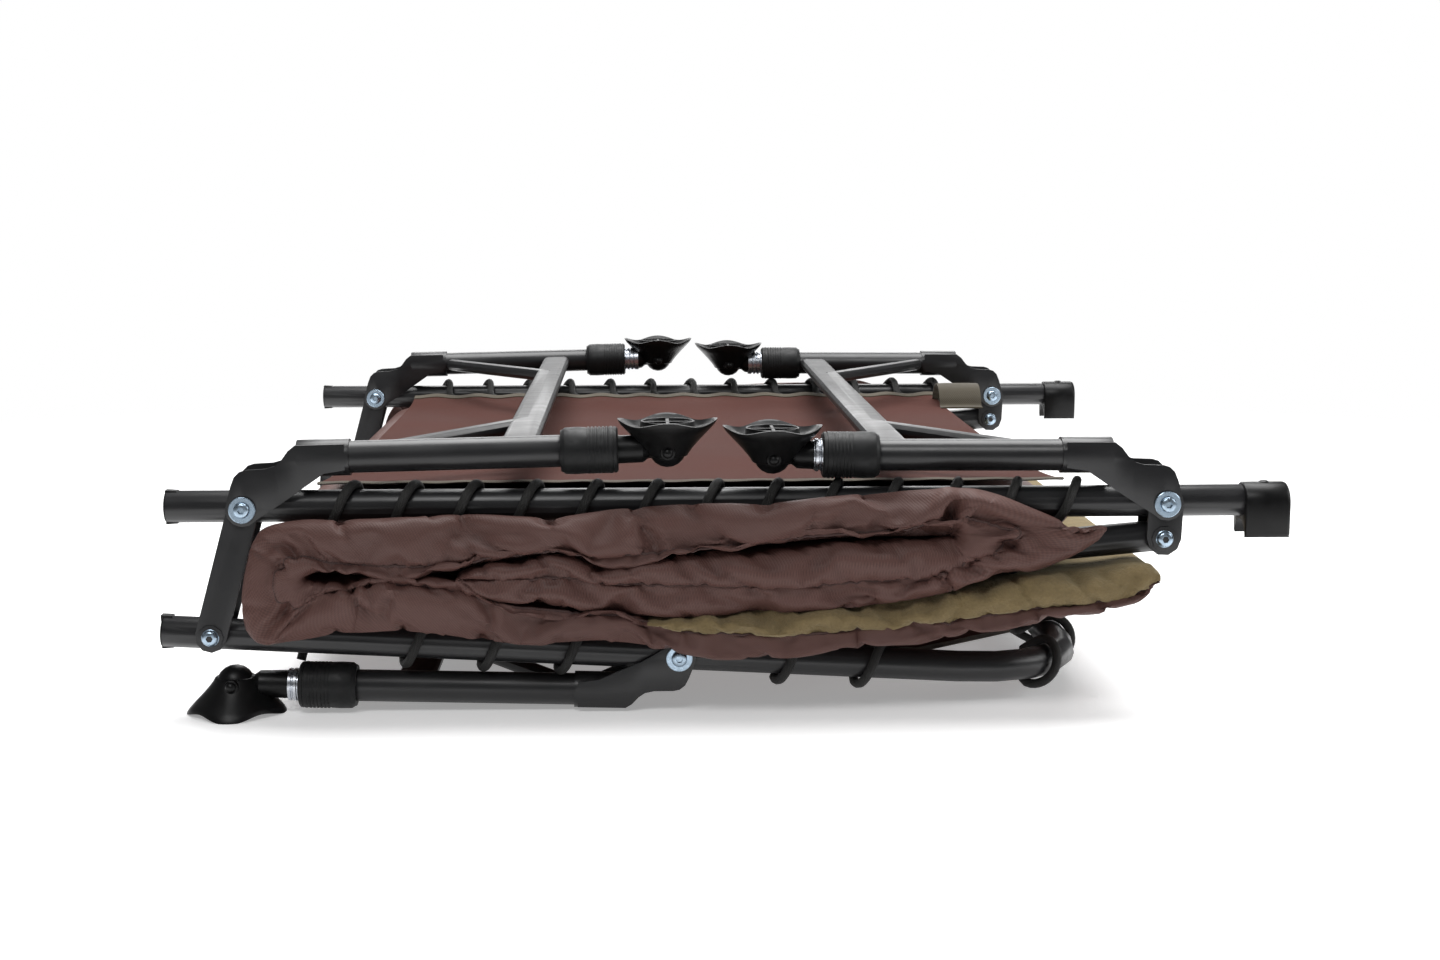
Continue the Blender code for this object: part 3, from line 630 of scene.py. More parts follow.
def build_saddles():
    """The plastic end of each middle rail: a rounded block that hooks over the foot section's rail. Its
    outline is (y, z) from the rail's middle, and its ends are a little smaller."""
    for side, sign in SIDES:
        low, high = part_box("saddle_" + side)
        half, drop = (high.y - low.y) / 2, MID_Z - FOOT_PIVOT.z
        seat = TUBE_R + 0.0006
        under = low.z - MID_Z
        outline = [(half * cos(radians(a)), half * sin(radians(a)) - 0.002) for a in range(0, 181, 15)]
        outline += [(-half, under + 0.002), (-half + 0.0012, under), (-seat, under), (-seat, -drop)]
        outline += [(-seat * cos(radians(a)), -drop + seat * sin(radians(a))) for a in range(20, 161, 20)]
        outline += [(seat, -drop), (seat, under), (half - 0.0012, under), (half, under + 0.002)]
        rings = []
        for x, shrink in ((low.x, 0.0012), (low.x + 0.0012, 0.0), (high.x - 0.003, 0.0),
                          (high.x - 0.0008, 0.001), (high.x, 0.0026)):
            scale = 1 - shrink / half
            rings.append([Vector((x, sign * RAIL_Y + y * (scale if z > 0 or abs(y) > seat + 0.0001 else 1.0),
                                  MID_Z + z * (scale if z > 0 else 1.0))) for y, z in outline])
        block = loft("saddle_block", rings, [PLASTIC], sharp=50.0)
        dome = [(0.0, 0.0), (0.0, 0.0042), (0.0012, 0.004), (0.002, 0.0028), (0.0023, 0.0)]
        rivet = lathe("saddle_rivet", dome, [ZINC], sides=24)
        top = Vector(((low.x + high.x) / 2, sign * RAIL_Y, MID_Z + half - 0.0032))
        rivet.data.transform(frame_matrix(top, UP, Vector((1.0, 0.0, 0.0))))
        whole = merge(f"saddle_{side}_block", [block, rivet])
        attach(whole, "mid_frame", "black_plastic", "saddle_" + side)


def build_end_lips():
    """The two small wedges on the plug of each open rail end."""
    for label, body, level in (("mid", "mid_frame", lambda x: MID_Z), ("head", "head_section", head_level)):
        x_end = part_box(label + "_end_cap_front")[0].x
        z = level(x_end)
        for side, sign in SIDES:
            lips = []
            for way in (-1.0, 1.0):
                plan = [Vector((x_end, sign * RAIL_Y + y, z + way * (TUBE_R + h))) for y, h in (
                    (-0.004, -0.004), (0.004, -0.004), (0.004, 0.0006), (-0.004, 0.0006))]
                end = [Vector((p.x + 0.009, p.y, z + way * (TUBE_R - 0.003 if i < 2 else TUBE_R + 0.0001)))
                       for i, p in enumerate(plan)]
                lips.append(loft("lip", [plan, end], [PLASTIC]))
            attach(merge(f"{label}_end_lips_{side}", lips), body, "black_plastic")


# ---------------- lacing, slings and strap

def spaced(start, end, count):
    """Evenly spaced numbers from start to end."""
    return [start + (end - start) * i / (count - 1) for i in range(count)]


def lacing(name, stops, node, body):
    """A braided cord that winds once around a tube at each stop, and dips under the hem between them."""
    turns = ((20.0, -0.5, HEM_REACH), (75.0, -0.42, LOOP_R), (120.0, -0.25, LOOP_R), (165.0, -0.06, LOOP_R),
             (210.0, 0.14, LOOP_R), (255.0, 0.34, LOOP_R), (300.0, 0.46, LOOP_R), (345.0, 0.55, HEM_REACH))
    points = []
    for centre, along, inward in stops:
        for angle, slide, out in turns:
            turn = radians(angle)
            level = sin(turn) * (LOOP_R if out == LOOP_R else 0.012)
            points.append(centre + along * slide * LOOP_SLANT + inward * out * cos(turn) - UP * level)
    made = sweep(name, smooth_path(points, 4), CORD_R, CORD, sides=10)
    attach(made, body, "black_cord", node)


def straight_stops(xs, sign, level):
    """Stops along the front or back rail of a section: each one's centre, its direction along the rail and
    the way to the sling. level gives the rail's height."""
    along = Vector((1.0 if xs[-1] > xs[0] else -1.0, 0.0, 0.0))
    inward = Vector((0.0, -sign, 0.0))
    return [(Vector((x, sign * RAIL_Y, level(x))), along, inward) for x in xs]


def end_stops(ys, x, level, inward):
    """Stops across a section, along the bow of its U tube."""
    return [(Vector((x, y, level(x))), Vector((0.0, 1.0, 0.0)), Vector((inward, 0.0, 0.0))) for y in ys]


def corner_stop(x_end, way, sign, level):
    """A stop in the middle of a U tube's corner; way is the direction in which the U closes."""
    out = Vector((way * sqrt(0.5), sign * sqrt(0.5), 0.0))
    centre = Vector((x_end - way * CORNER_R, sign * (RAIL_Y - CORNER_R), 0.0)) + out * CORNER_R
    centre.z = level(centre.x)
    return centre, out


def build_lacings():
    """The cords along the rails and round the U tubes, and a short loose end below the front head rail."""
    head_end = HEAD_PIVOT.x + HEAD_LENGTH * cos(atan(HEAD_SLOPE))
    foot_end = FOOT_PIVOT.x - FOOT_LENGTH * cos(atan(FOOT_SLOPE))
    for side, sign in SIDES:
        stops = straight_stops(spaced(*MID_TURNS), sign, lambda x: MID_Z)
        lacing("mid_cord_" + side, stops, "mid_lacing_" + side, "mid_frame")
        xs = [HEAD_PIVOT.x + s for s in spaced(*HEAD_TURNS) + HEAD_FAR_TURNS]
        centre, out = corner_stop(head_end, 1.0, sign, head_level)
        stops = straight_stops(xs, sign, head_level) + [(centre, Vector((out.x, -out.y, 0.0)), -out)]
        lacing("head_cord_" + side, stops, "head_lacing_" + side, "head_section")
    knot_x = HEAD_PIVOT.x + 0.064
    knot = [Vector((knot_x + dx, -RAIL_Y + dy, head_level(knot_x) + dz)) for dx, dy, dz in (
        (0.003, 0.015, 0.004), (0.002, 0.0175, -0.006), (0.001, 0.017, -0.014), (-0.001, 0.015, -0.022))]
    tail = sweep("head_cord_tail", smooth_path(knot, 6), CORD_R, CORD, sides=10)
    attach(tail, "head_section", "black_cord")
    stops = end_stops(spaced(*HEAD_END_TURNS), head_end, head_level, -1.0)
    lacing("head_cord_end", stops, "head_lacing_end", "head_section")
    xs = [FOOT_PIVOT.x - s for s in spaced(*FOOT_TURNS)]
    stops = straight_stops(xs, -1.0, foot_level)
    for sign in (-1.0, 1.0):
        centre, out = corner_stop(foot_end, -1.0, sign, foot_level)
        along = Vector((out.y, -out.x, 0.0))
        stops.append((centre, along if along.y > 0 else -along, -out))
        if sign < 0:
            stops += end_stops(spaced(*FOOT_END_TURNS), foot_end, foot_level, 1.0)
    stops += straight_stops(xs[::-1], 1.0, foot_level)
    lacing("foot_cord", stops, "foot_lacing", "foot_section")


def build_sling(name, x_from, x_to, level, body, pitch, start, corner=0.0, rise=0.002):
    """A laced sling: cloth whose hem curves in between the loops, with a folded tape along each edge.
    The curves start at a loop and repeat by the pitch. The front hem lifts further than the back one."""
    rows, columns = 96, 64

    def half_width(x):
        into = max(0.0, corner - (max(x_from, x_to) - x if x_to > x_from else x - x_to))
        return SLING_Y - into - SCALLOP * (0.5 - 0.5 * cos(2 * pi * (x - start) / pitch))

    def height(x, share):
        sag = SAG * (1 - share ** 2) + RIPPLE * noise.noise(Vector((x * 9, share * 3, 4.0)))
        puckers = PUCKER * abs(share) ** 8 * cos(2 * pi * (x - start) / pitch)
        lift = rise * (1.8 * abs(share) ** 2.6 if share < 0 else share ** 12)
        return level(x) - 0.002 - sag * 0.4 + puckers + lift

    verts, faces, uvs = [], [], []
    for i in range(rows + 1):
        x = x_from + (x_to - x_from) * i / rows
        for j in range(columns + 1):
            share = sin(pi * (j / columns - 0.5))
            verts.append(Vector((x, share * half_width(x), height(x, share))))
    for i in range(rows):
        for j in range(columns):
            a = i * (columns + 1) + j
            face = (a, a + 1, a + columns + 2, a + columns + 1)
            faces.append(face)
            uvs += [(verts[v].x, verts[v].y) for v in face]
    # The sling cloth takes the darker brown, which is painted shade for its upturned face.
    cloth = piece(name + "_cloth", verts, faces, [SLING], uvs=uvs)
    attach(cloth, body, "brown_fabric", name)
    fold = ((0.013, 0.0009), (0.004, 0.0013), (-0.0006, 0.0), (0.004, -0.0013), (0.013, -0.0009))
    tapes = []
    for sign in (-1.0, 1.0):
        rings = []
        for i in range(rows + 1):
            x = x_from + (x_to - x_from) * i / rows
            edge = half_width(x)
            ring = []
            for inset, lift in fold:
                under = height(x, sign * min(1.0, 1.0 - inset / edge))
                ring.append(Vector((x, sign * (edge - inset), under + lift)))
            rings.append(ring)
        # The hem tapes take the lighter webbing, which is painted light for their shaded edge.
        tapes.append(loft(name + "_tape", rings, [HEM], sharp=60.0))
    tape = merge(name + "_tapes", tapes)
    attach(tape, body, "olive_tape")


def build_slings():
    """The three slings, which stop short of the pivots and of the U tubes' ends."""
    head_from, head_to = HEAD_PIVOT.x + 0.1, HEAD_PIVOT.x + HEAD_LENGTH - 0.036
    foot_from, foot_to = FOOT_PIVOT.x - 0.11, FOOT_PIVOT.x - FOOT_LENGTH + 0.036
    mid_pitch, foot_pitch = ((last - first) / (count - 1) for first, last, count in (MID_TURNS, FOOT_TURNS))
    build_sling("mid_sling", -0.322, 0.27, lambda x: MID_Z + 0.0005, "mid_frame", mid_pitch, MID_TURNS[0],
                rise=0.0075)
    build_sling("head_sling", head_from, head_to, head_level, "head_section", 0.045, HEAD_PIVOT.x + 0.182,
                corner=SLING_CORNER)
    build_sling("foot_sling", foot_from, foot_to, foot_level, "foot_section", foot_pitch,
                FOOT_PIVOT.x - FOOT_TURNS[0], corner=SLING_CORNER)


def build_strap():
    """A webbing carry loop that stands as an arch near the back rail."""
    low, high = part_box("carry_strap")
    path = [(0.258, 0.1612), (0.268, 0.162), (0.2735, 0.171), (0.283, 0.18), (0.298, 0.1835),
            (0.314, 0.18), (0.3245, 0.171), (0.33, 0.1625), (0.34, 0.1612)]
    section = ((-1.0, -0.5), (-0.6, -1.0), (0.0, -1.0), (0.6, -1.0), (1.0, -0.5), (1.0, 0.5), (0.6, 1.0),
               (0.0, 1.0), (-0.6, 1.0), (-1.0, 0.5))
    middle, half = (low.x + high.x) / 2, (high.x - low.x) / 2
    rings = []
    line = smooth_path([Vector((middle, y, z)) for y, z in path], 6)
    for i, point in enumerate(line):
        along = (line[min(i + 1, len(line) - 1)] - line[max(i - 1, 0)]).normalized()
        normal = Vector((1.0, 0.0, 0.0)).cross(along).normalized()
        rings.append([point + Vector((x * half, 0.0, 0.0)) + normal * 0.0009 * n for x, n in section])
    attach(loft("carry_loop", rings, [TAPE], sharp=60.0), "mid_frame", "olive_tape", "carry_strap")


# ---------------- mattress

# How far from the cot's middle the points of a ring lie, before its edge. The seam is the point of number
# SEAM_AT, and pulls the edge in by SEAM_DIP. The head layer's edge shows its fleece from FLEECE_FROM on.
MIDDLE_YS = (0.0, 0.06, 0.12, 0.18, 0.24, 0.29, 0.325, 0.347)
RAIL_YS = (0.362, 0.376, 0.39, 0.403, 0.4105)
PER_HALF = len(MIDDLE_YS) + len(RAIL_YS)
SEAM_AT = PER_HALF + WOOL_STEPS
SEAM_DIP, FLEECE_FROM = 0.34, -0.062

# The folded mattress seen from its side, as (x, z) of its cloth face and of its fleece face, with the
# share of the way from fleece to cloth at which the side seam runs. It starts at the foot end.
FOOT_RUN = [
    ((-0.207, 0.106), (-0.207, 0.1155), 0.45), ((-0.17, 0.0935), (-0.17, 0.1215), 0.4),
    ((-0.13, 0.0865), (-0.13, 0.1265), 0.38), ((-0.09, 0.083), (-0.09, 0.1215), 0.38),
    ((-0.03, 0.0812), (-0.03, 0.127), 0.49), ((0.05, 0.084), (0.05, 0.1365), 0.64),
    ((0.12, 0.09), (0.12, 0.141), 0.68), ((0.165, 0.0975), (0.162, 0.14), 0.66)]
RIGHT_TURN = [
    ((0.205, 0.111), (0.171, 0.139), 0.52), ((0.238, 0.1165), (0.174, 0.141), 0.46),
    ((0.27, 0.1335), (0.176, 0.1425), 0.42), ((0.289, 0.1475), (0.177, 0.144), 0.38),
    ((0.258, 0.1525), (0.177, 0.145), 0.34), ((0.228, 0.162), (0.175, 0.146), 0.3)]
MID_RUN = [
    ((0.2, 0.172), (0.171, 0.1468), 0.25), ((0.172, 0.1755), (0.16, 0.1472), 0.2),
    ((0.12, 0.1715), (0.12, 0.143), 0.14), ((0.053, 0.169), (0.053, 0.1385), 0.12),
    ((-0.028, 0.163), (-0.028, 0.1285), 0.12), ((-0.095, 0.1605), (-0.095, 0.123), 0.12),
    ((-0.14, 0.1575), (-0.14, 0.1285), 0.12), ((-0.193, 0.156), (-0.193, 0.121), 0.13),
    ((-0.24, 0.1565), (-0.24, 0.1145), 0.15), ((-0.285, 0.156), (-0.28, 0.1145), 0.2)]
LEFT_TURN = [
    ((-0.322, 0.155), (-0.3, 0.1135), 0.3), ((-0.345, 0.149), (-0.31, 0.1135), 0.42),
    ((-0.359, 0.132), (-0.317, 0.1125), 0.5), ((-0.3665, 0.105), (-0.32, 0.111), 0.52),
    ((-0.366, 0.079), (-0.317, 0.1095), 0.46), ((-0.357, 0.0605), (-0.309, 0.1085), 0.36),
    ((-0.332, 0.0625), (-0.298, 0.1095), 0.22)]
HEAD_RUN = [
    ((-0.285, 0.0675), (-0.27, 0.1115), 0.13), ((-0.24, 0.0655), (-0.238, 0.1115), 0.1),
    ((-0.198, 0.062), (-0.198, 0.1025), 0.08), ((-0.165, 0.0595), (-0.165, 0.092), 0.08),
    ((-0.129, 0.0585), (-0.129, 0.086), 0.08), ((-0.085, 0.059), (-0.085, 0.0825), 0.1),
    ((-0.055, 0.056), (-0.055, 0.0808), 0.35), ((-0.02, 0.052), (-0.02, 0.081), 0.44),
    ((0.054, 0.052), (0.054, 0.0838), 0.55), ((0.115, 0.056), (0.115, 0.089), 0.55),
    ((0.177, 0.063), (0.177, 0.0985), 0.62), ((0.236, 0.072), (0.236, 0.108), 0.66),
    ((0.29, 0.0825), (0.29, 0.113), 0.76), ((0.33, 0.093), (0.33, 0.12), 0.78)]
RUNS = (FOOT_RUN, RIGHT_TURN, MID_RUN, LEFT_TURN, HEAD_RUN)
RIGHT, MID, LEFT, HEAD = range(1, 5)

# Creases in the mattress edge: depth, half width, and the path in (x, z)
CREASES = (
    (0.0075, 0.0046, ((-0.066, 0.16), (-0.064, 0.148), (-0.059, 0.141), (-0.057, 0.131))),
    (0.003, 0.0034, ((-0.057, 0.132), (-0.05, 0.14), (-0.036, 0.144))),
    (0.0045, 0.0034, ((-0.351, 0.128), (-0.346, 0.138), (-0.338, 0.139), (-0.331, 0.134), (-0.324, 0.124))),
    (0.004, 0.003, ((-0.343, 0.124), (-0.333, 0.12), (-0.321, 0.118), (-0.309, 0.114))),
    (0.0045, 0.003, ((-0.307, 0.113), (-0.316, 0.106), (-0.331, 0.099), (-0.338, 0.085), (-0.358, 0.066))),
    (0.0045, 0.0032, ((-0.283, 0.114), (-0.286, 0.104), (-0.279, 0.088), (-0.268, 0.083))),
    (0.004, 0.0032, ((-0.254, 0.102), (-0.259, 0.093), (-0.265, 0.08))),
    (0.0035, 0.0032, ((-0.278, 0.113), (-0.273, 0.105), (-0.256, 0.095), (-0.246, 0.087))),
    (0.003, 0.005, ((-0.23, 0.142), (-0.18, 0.147), (-0.12, 0.146))),
    (0.003, 0.0034, ((-0.112, 0.122), (-0.095, 0.111), (-0.07, 0.106))),
    (0.004, 0.0034, ((0.013, 0.118), (0.02, 0.107), (0.018, 0.098))),
    (0.003, 0.0034, ((0.064, 0.166), (0.066, 0.156), (0.061, 0.147))),
    (0.003, 0.0034, ((0.1, 0.118), (0.106, 0.11), (0.103, 0.103))),
    (0.0085, 0.0044, ((0.18, 0.176), (0.169, 0.161), (0.167, 0.148), (0.165, 0.128))),
    (0.006, 0.0036, ((0.17, 0.146), (0.185, 0.142), (0.214, 0.135), (0.232, 0.127))),
    (0.006, 0.0036, ((0.165, 0.133), (0.16, 0.121), (0.167, 0.102))),
    (0.0035, 0.003, ((0.166, 0.133), (0.177, 0.121), (0.203, 0.114))),
    (0.0035, 0.0032, ((0.285, 0.147), (0.268, 0.143), (0.254, 0.151))),
    (0.0035, 0.004, ((0.16, 0.082), (0.169, 0.075), (0.178, 0.083))),
    (0.003, 0.004, ((-0.196, 0.072), (-0.188, 0.064), (-0.192, 0.055))))


def zones(run, cloth, wool):
    """Where the two faces lie beside the edge: at the middle of the cot, and over the rail."""
    (cx, cz), (wx, wz) = cloth, wool
    if run is FOOT_RUN:
        if cx < -0.1:
            middle = rail = ((cx, cz), (wx, wz))
        elif cx < -0.02:
            middle = rail = ((cx, 0.1205), (wx, 0.1245))
        else:
            level = foot_level(cx)
            middle = ((cx, level + 0.0018), (wx, level + 0.0125))
            rail = ((cx, min(level + 0.0198, 0.1345)), (wx, min(level + 0.0225, 0.1368)))
    elif run is RIGHT_TURN:
        middle = ((cx - 0.012, 0.5 * cz + 0.071), (wx, wz))
        rail = ((0.75 * cx + 0.05, 0.139), (wx - 0.01, 0.138))
    elif run is MID_RUN:
        low = foot_level(cx) + 0.024
        middle = ((cx, 0.1538), (wx, min(max(wz - 0.004, low), 0.1485)))
        rail = ((cx, 0.1392), (wx, min(max(wz - 0.004, low), 0.1378)))
    elif run is LEFT_TURN:
        high = cz > 0.1
        middle = ((cx + 0.004, min(cz, 0.156) + (0.0 if high else 0.003)), (wx, wz))
        rail = ((cx + 0.006, min(cz, 0.139) if high else max(cz, head_level(cx) + 0.018)), (wx, wz))
    else:
        level = head_level(cx)
        low = level + 0.0055 if cx < 0.05 else max(level + 0.0055, cz - 0.004)
        middle = ((cx, low), (wx, wz + 0.001))
        rail = ((cx, max(cz, level + 0.0205) if cx < 0.12 else max(cz, level + 0.015)), (wx, wz))
    return middle, rail


def side_curve(seam):
    """(y, share) points of the mattress edge, from its fleece face round to its cloth face."""
    made = []
    parts = ((0, WOOL_STEPS, 0.0, seam, 1.0), (1, CLOTH_STEPS, seam, 1 - seam, -1.0))
    for first, count, base, span, way in parts:
        for i in range(first, count + 1):
            angle = radians(90.0 - 180.0 * i / count)
            width = cos(angle) if angle * way > 0 else 1 - SEAM_DIP * (1 - cos(angle))
            made.append((MAT_EDGE_Y + MAT_BULGE * width, base + span * (1 - sin(angle)) / 2))
    return made


def mattress_rings():
    """Rings across the mattress, from the foot end round to the head end, and each one's run."""
    rows, owner = [], []
    for number, run in enumerate(RUNS):
        for cloth, wool, seam in run:
            middle, rail = zones(run, cloth, wool)
            rows.append(Vector([*cloth, *wool, *middle[0], *middle[1], *rail[0], *rail[1], seam]))
            owner.append(number)
    line = smooth_path(rows, STEPS)
    total = len(line)
    owners = [owner[min(i // STEPS, len(owner) - 1)] for i in range(total)]
    rings = []
    for i, row in enumerate(line):
        pairs = [Vector(row[k:k + 2]) for k in range(0, 12, 2)]
        cloth, wool, mid_cloth, mid_wool, rail_cloth, rail_wool = pairs
        seam = min(max(row[12], 0.06), 0.9)
        close = min(i, total - 1 - i) / 10.0
        swell = sqrt(max(0.02, 1 - (1 - min(close, 1.0)) ** 2))
        half = [(y, mid_wool, mid_cloth, 0.0) for y in MIDDLE_YS]
        half += [(y, rail_wool, rail_cloth, 0.0) for y in RAIL_YS]
        half += [(y, wool, cloth, share) for y, share in side_curve(seam)]
        half += [(y, rail_wool, rail_cloth, 1.0) for y in RAIL_YS[::-1]]
        half += [(y, mid_wool, mid_cloth, 1.0) for y in MIDDLE_YS[::-1]]
        ring = []
        for sign in (-1.0, 1.0):
            points = []
            for y, inner, outer, share in half:
                shrunk = 0.5 + (share - 0.5) * swell
                at = inner + (outer - inner) * shrunk
                points.append(Vector((at.x, sign * y, at.y)))
            if sign > 0:
                points = points[-2:0:-1]
            ring += points
        rings.append(ring)
    return rings, owners


def share_past(start, value, reach):
    """0 up to the start, and 1 once the value is past it by reach."""
    return max(0.0, min(1.0, (value - start) / reach))


def crumpled(rings):
    """Adds the soft folds of slack cloth, strongest along the edges."""
    moved = []
    for i, ring in enumerate(rings):
        made = []
        for j, point in enumerate(ring):
            edge = share_past(0.4, abs(point.y), 0.016)
            place = Vector((point.x * 9.0, point.y * 6.0, point.z * 26.0))
            soft = noise.fractal(place, 0.9, 2.1, 3)
            bend = Vector((point.x * 17.0 + point.z * 24.0, point.z * 20.0, point.y * 4.0))
            ridge = 1.0 - min(1.0, abs(noise.noise(bend)) / 0.14)
            depth = 0.0026 * soft - 0.0014 * ridge
            made.append(point + surface_direction(rings, i, j) * depth * (0.12 + 0.88 * edge))
        moved.append(made)
    return moved


def surface_direction(rings, i, j):
    """The surface's direction at a point of the rings."""
    ring = rings[i]
    along = rings[min(i + 1, len(rings) - 1)][j] - rings[max(i - 1, 0)][j]
    normal = (ring[(j + 1) % len(ring)] - ring[j - 1]).cross(along)
    return normal.normalized() if normal.length > 1e-12 else Vector()


def groove(point):
    """How far the creases press a point of the edge in, and their lips raise it."""
    total = 0.0
    for depth, half, path in CREASES:
        best, share = 1.0, 0.0
        for k, (start, end) in enumerate(zip(path, path[1:])):
            dx, dz = end[0] - start[0], end[1] - start[1]
            t = ((point.x - start[0]) * dx + (point.z - start[1]) * dz) / (dx * dx + dz * dz)
            t = min(max(t, 0.0), 1.0)
            away = hypot(point.x - start[0] - t * dx, point.z - start[1] - t * dz)
            if away < best:
                best, share = away, (k + t) / (len(path) - 1)
        if best < 5 * half:
            fade = 1.0 - (2 * share - 1) ** 4
            lip = 0.45 * exp(-((best - 2.3 * half) / (1.2 * half)) ** 2)
            total += depth * fade * (lip - exp(-(best / half) ** 2))
    return total


def creased(rings):
    """Presses the creases into the brown part of the edges."""
    made = []
    for i, ring in enumerate(rings):
        line = []
        for j, point in enumerate(ring):
            past_seam = min(j, len(ring) - 1 - j) - SEAM_AT
            edge = share_past(0.408, abs(point.y), 0.008) * share_past(-3, past_seam, 3)
            if edge > 0.0:
                point = point + surface_direction(rings, i, j) * groove(point) * edge
                point.y = min(max(point.y, -MAT_LIMIT_Y), MAT_LIMIT_Y)
            line.append(point)
        made.append(line)
    return made


def settle(rings):
    """Cloth simulation of the slack edges: the cloth is a little too long for its seams and puffs up,
    with the seams and everything between the rails held."""
    solid = loft("settling", rings, [BROWN])
    held = solid.vertex_groups.new(name="held")
    count = len(rings[0])
    seams = (SEAM_AT, count - SEAM_AT)
    for i, ring in enumerate(rings):
        for j, point in enumerate(ring):
            weight = 1.0 if abs(point.y) < 0.413 or i in (0, len(rings) - 1) else 0.0
            if j in seams:
                weight = 0.92
            if weight:
                held.add([i * count + j], weight, "REPLACE")
    cloth = solid.modifiers.new("cloth", "CLOTH")
    for setting, value in CLOTH.items():
        setattr(cloth.settings, setting, value)
    cloth.settings.effector_weights.gravity = 0.0
    cloth.collision_settings.use_collision = False
    cloth.point_cache.frame_end = SETTLE_FRAMES
    scene = bpy.context.scene
    scene.frame_start = 1
    for step in range(1, SETTLE_FRAMES + 1):
        scene.frame_set(step)
    seen = solid.evaluated_get(bpy.context.evaluated_depsgraph_get())
    places = [v.co.copy() for v in seen.data.vertices]
    scene.frame_set(1)
    bpy.data.objects.remove(solid, do_unlink=True)
    made = []
    for i, ring in enumerate(rings):
        line = []
        for j, point in enumerate(ring):
            shift = places[i * count + j] - point
            if shift.length > SHIFT_CAP:
                shift *= SHIFT_CAP / shift.length
            moved = point + shift
            moved.y = min(max(moved.y, -MAT_LIMIT_Y), MAT_LIMIT_Y)
            line.append(moved)
        made.append(line)
    return made


def build_mattress():
    """Splits the folded mattress where the sections turn, and puts each flat pad on its section; the turns stay
    where they are.
    """
    rings, owners = mattress_rings()
    rings = crumpled(rings)
    rings = settle(rings)
    rings = creased(rings)
    count = len(rings[0])
    right_start, mid_start, left_start, head_start = (owners.index(run) for run in (RIGHT, MID, LEFT, HEAD))
    left_middle = (left_start + head_start) // 2 - STEPS // 2
    cuts = [
        ("foot_pad", 0, right_start, "foot_section", "foot_mattress"),
        ("right_turn", right_start, mid_start,
         ("foot_section", "mid_frame", (0.23, 0, 0.112), (0.23, 0, 0.16)), None),
        ("mid_pad", mid_start, left_start, "mid_frame", "mid_mattress"),
        ("left_turn_upper", left_start, left_middle,
         ("mid_frame", "head_links", (-0.3, 0, 0.15), (-0.355, 0, 0.108)), None),
        ("left_turn_lower", left_middle, head_start,
         ("head_links", "head_section", (-0.355, 0, 0.098), (-0.3, 0, 0.065)), None),
        ("head_pad", head_start, len(rings) - 1, "head_section", "head_mattress")]
    for name, start, end, held, node in cuts:
        def finish_of(i, j, start=start):
            k = min(j, count - j - 1)
            fleecy_edge = owners[start + i] == HEAD and rings[start + i][0].x > FLEECE_FROM
            return 1 if k < (SEAM_AT if fleecy_edge else PER_HALF - 3) else 0
        made = loft(name, rings[start:end + 1], [BROWN, FLEECE], finish_of, sharp=70.0)
        # Piping along both side seams, in the darker brown that paints the shadow line of the seam.
        seams = []
        for j in (SEAM_AT, count - SEAM_AT):
            seams.append(sweep("seam", [ring[j] for ring in rings[start:end + 1]], PIPING_R, SEAM, sides=8))
        piping = merge(name + "_piping", seams)
        for item in (made, piping):
            if node:
                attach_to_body(item, held)
            else:
                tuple(held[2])
                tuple(held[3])
                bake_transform(item)
        if node:
            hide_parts(node)


# ---------------- studio

FLOOR_HALF, FADE_FROM, FADE_TO = 2.2, 1.0, 1.9


def area_light(name, place, towards, size, watts):
    data = bpy.data.lights.new(name, "AREA")
    data.shape = "RECTANGLE"
    data.size, data.size_y = size
    data.energy = watts
    made = add_object(name, data)
    made.location = place
    made.rotation_euler = (Vector(towards) - Vector(place)).to_track_quat("-Z", "Y").to_euler()


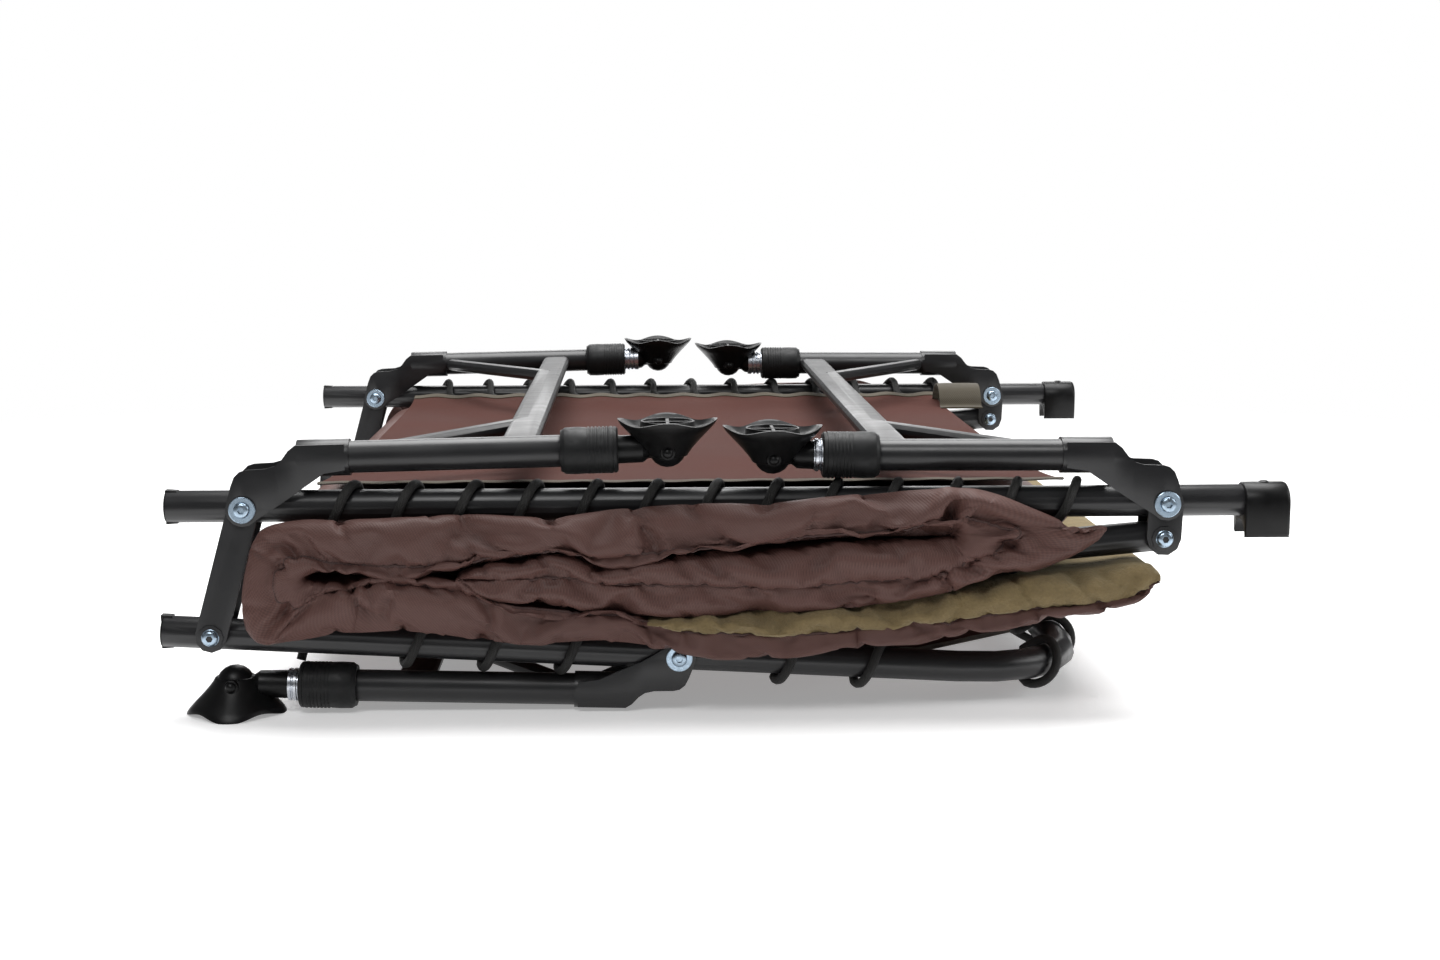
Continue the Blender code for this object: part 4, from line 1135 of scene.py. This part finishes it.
def build_studio():
    """A pale floor that fades out into a white surround, and four softboxes."""
    finish = Shader("studio_floor", (0.86, 0.86, 0.86), 0.55)
    finish.shades(finish.noise(2.0, 2.0), 0.99, 1.01)
    finish.set(Emission_Color=(1.0, 1.0, 1.0, 1.0), Emission_Strength=0.3)
    distance = finish.node("ShaderNodeVectorMath", _0=finish.place.outputs["Object"])
    distance.operation = "LENGTH"
    gone = finish.ramp(distance.outputs["Value"], FADE_FROM, FADE_TO, 0.0, 1.0)
    fade, clear = finish.node("ShaderNodeMixShader", _0=gone), finish.node("ShaderNodeBsdfTransparent")
    finish.link(finish.bsdf.outputs[0], fade.inputs[1])
    finish.link(clear.outputs[0], fade.inputs[2])
    finish.link(fade.outputs[0], finish.tree.nodes["Material Output"].inputs[0])
    corners = [Vector((x * FLOOR_HALF, y * FLOOR_HALF, 0.0)) for x, y in ((-1, -1), (1, -1), (1, 1), (-1, 1))]
    floor = piece("studio_floor", corners, [(0, 1, 2, 3)], [finish.material])
    area_light("overhead_softbox", (0.1, 0.5, 2.3), (0.0, 0.1, 0.1), (2.4, 1.8), 105.0)
    area_light("front_softbox", (-0.7, -2.0, 2.3), (0.0, -0.2, 0.1), (1.4, 0.9), 27.0)
    area_light("right_softbox", (2.3, -0.5, 1.2), (0.0, 0.0, 0.1), (1.2, 1.2), 16.0)
    area_light("back_softbox", (0.2, 2.6, 1.3), (0.0, 0.0, 0.1), (2.4, 1.0), 26.0)
    world = bpy.data.worlds.new("studio")
    world.use_nodes = True
    tree = world.node_tree
    seen, lit = tree.nodes["Background"], tree.nodes.new("ShaderNodeBackground")
    for node, colour, strength in ((seen, (1.0, 1.0, 1.0), 1.0), (lit, (0.97, 0.98, 1.0), 0.13)):
        node.inputs["Color"].default_value = (*colour, 1.0)
        node.inputs["Strength"].default_value = strength
    blend, rays = tree.nodes.new("ShaderNodeMixShader"), tree.nodes.new("ShaderNodeLightPath")
    tree.links.new(rays.outputs["Is Camera Ray"], blend.inputs[0])
    tree.links.new(lit.outputs[0], blend.inputs[1])
    tree.links.new(seen.outputs[0], blend.inputs[2])
    tree.links.new(blend.outputs[0], tree.nodes["World Output"].inputs[0])
    bpy.context.scene.world = world
    bpy.context.scene.view_settings.view_transform = "Standard"


def build_camera():
    data = bpy.data.cameras.new("camera")
    data.lens = 50.0
    data.sensor_width = 36.0
    data.clip_start, data.clip_end = 0.05, 60.0
    camera = add_object("camera", data)
    camera.location = (-0.067, -1.919, 0.411)
    camera.rotation_euler = (radians(81.42), 0.0, radians(-2.29))
    bpy.context.scene.camera = camera


build_camera()
build_studio()
dress_frame()
build_bolts()
build_leg_fittings()
build_saddles()
build_end_lips()
build_lacings()
build_slings()
build_strap()
build_mattress()
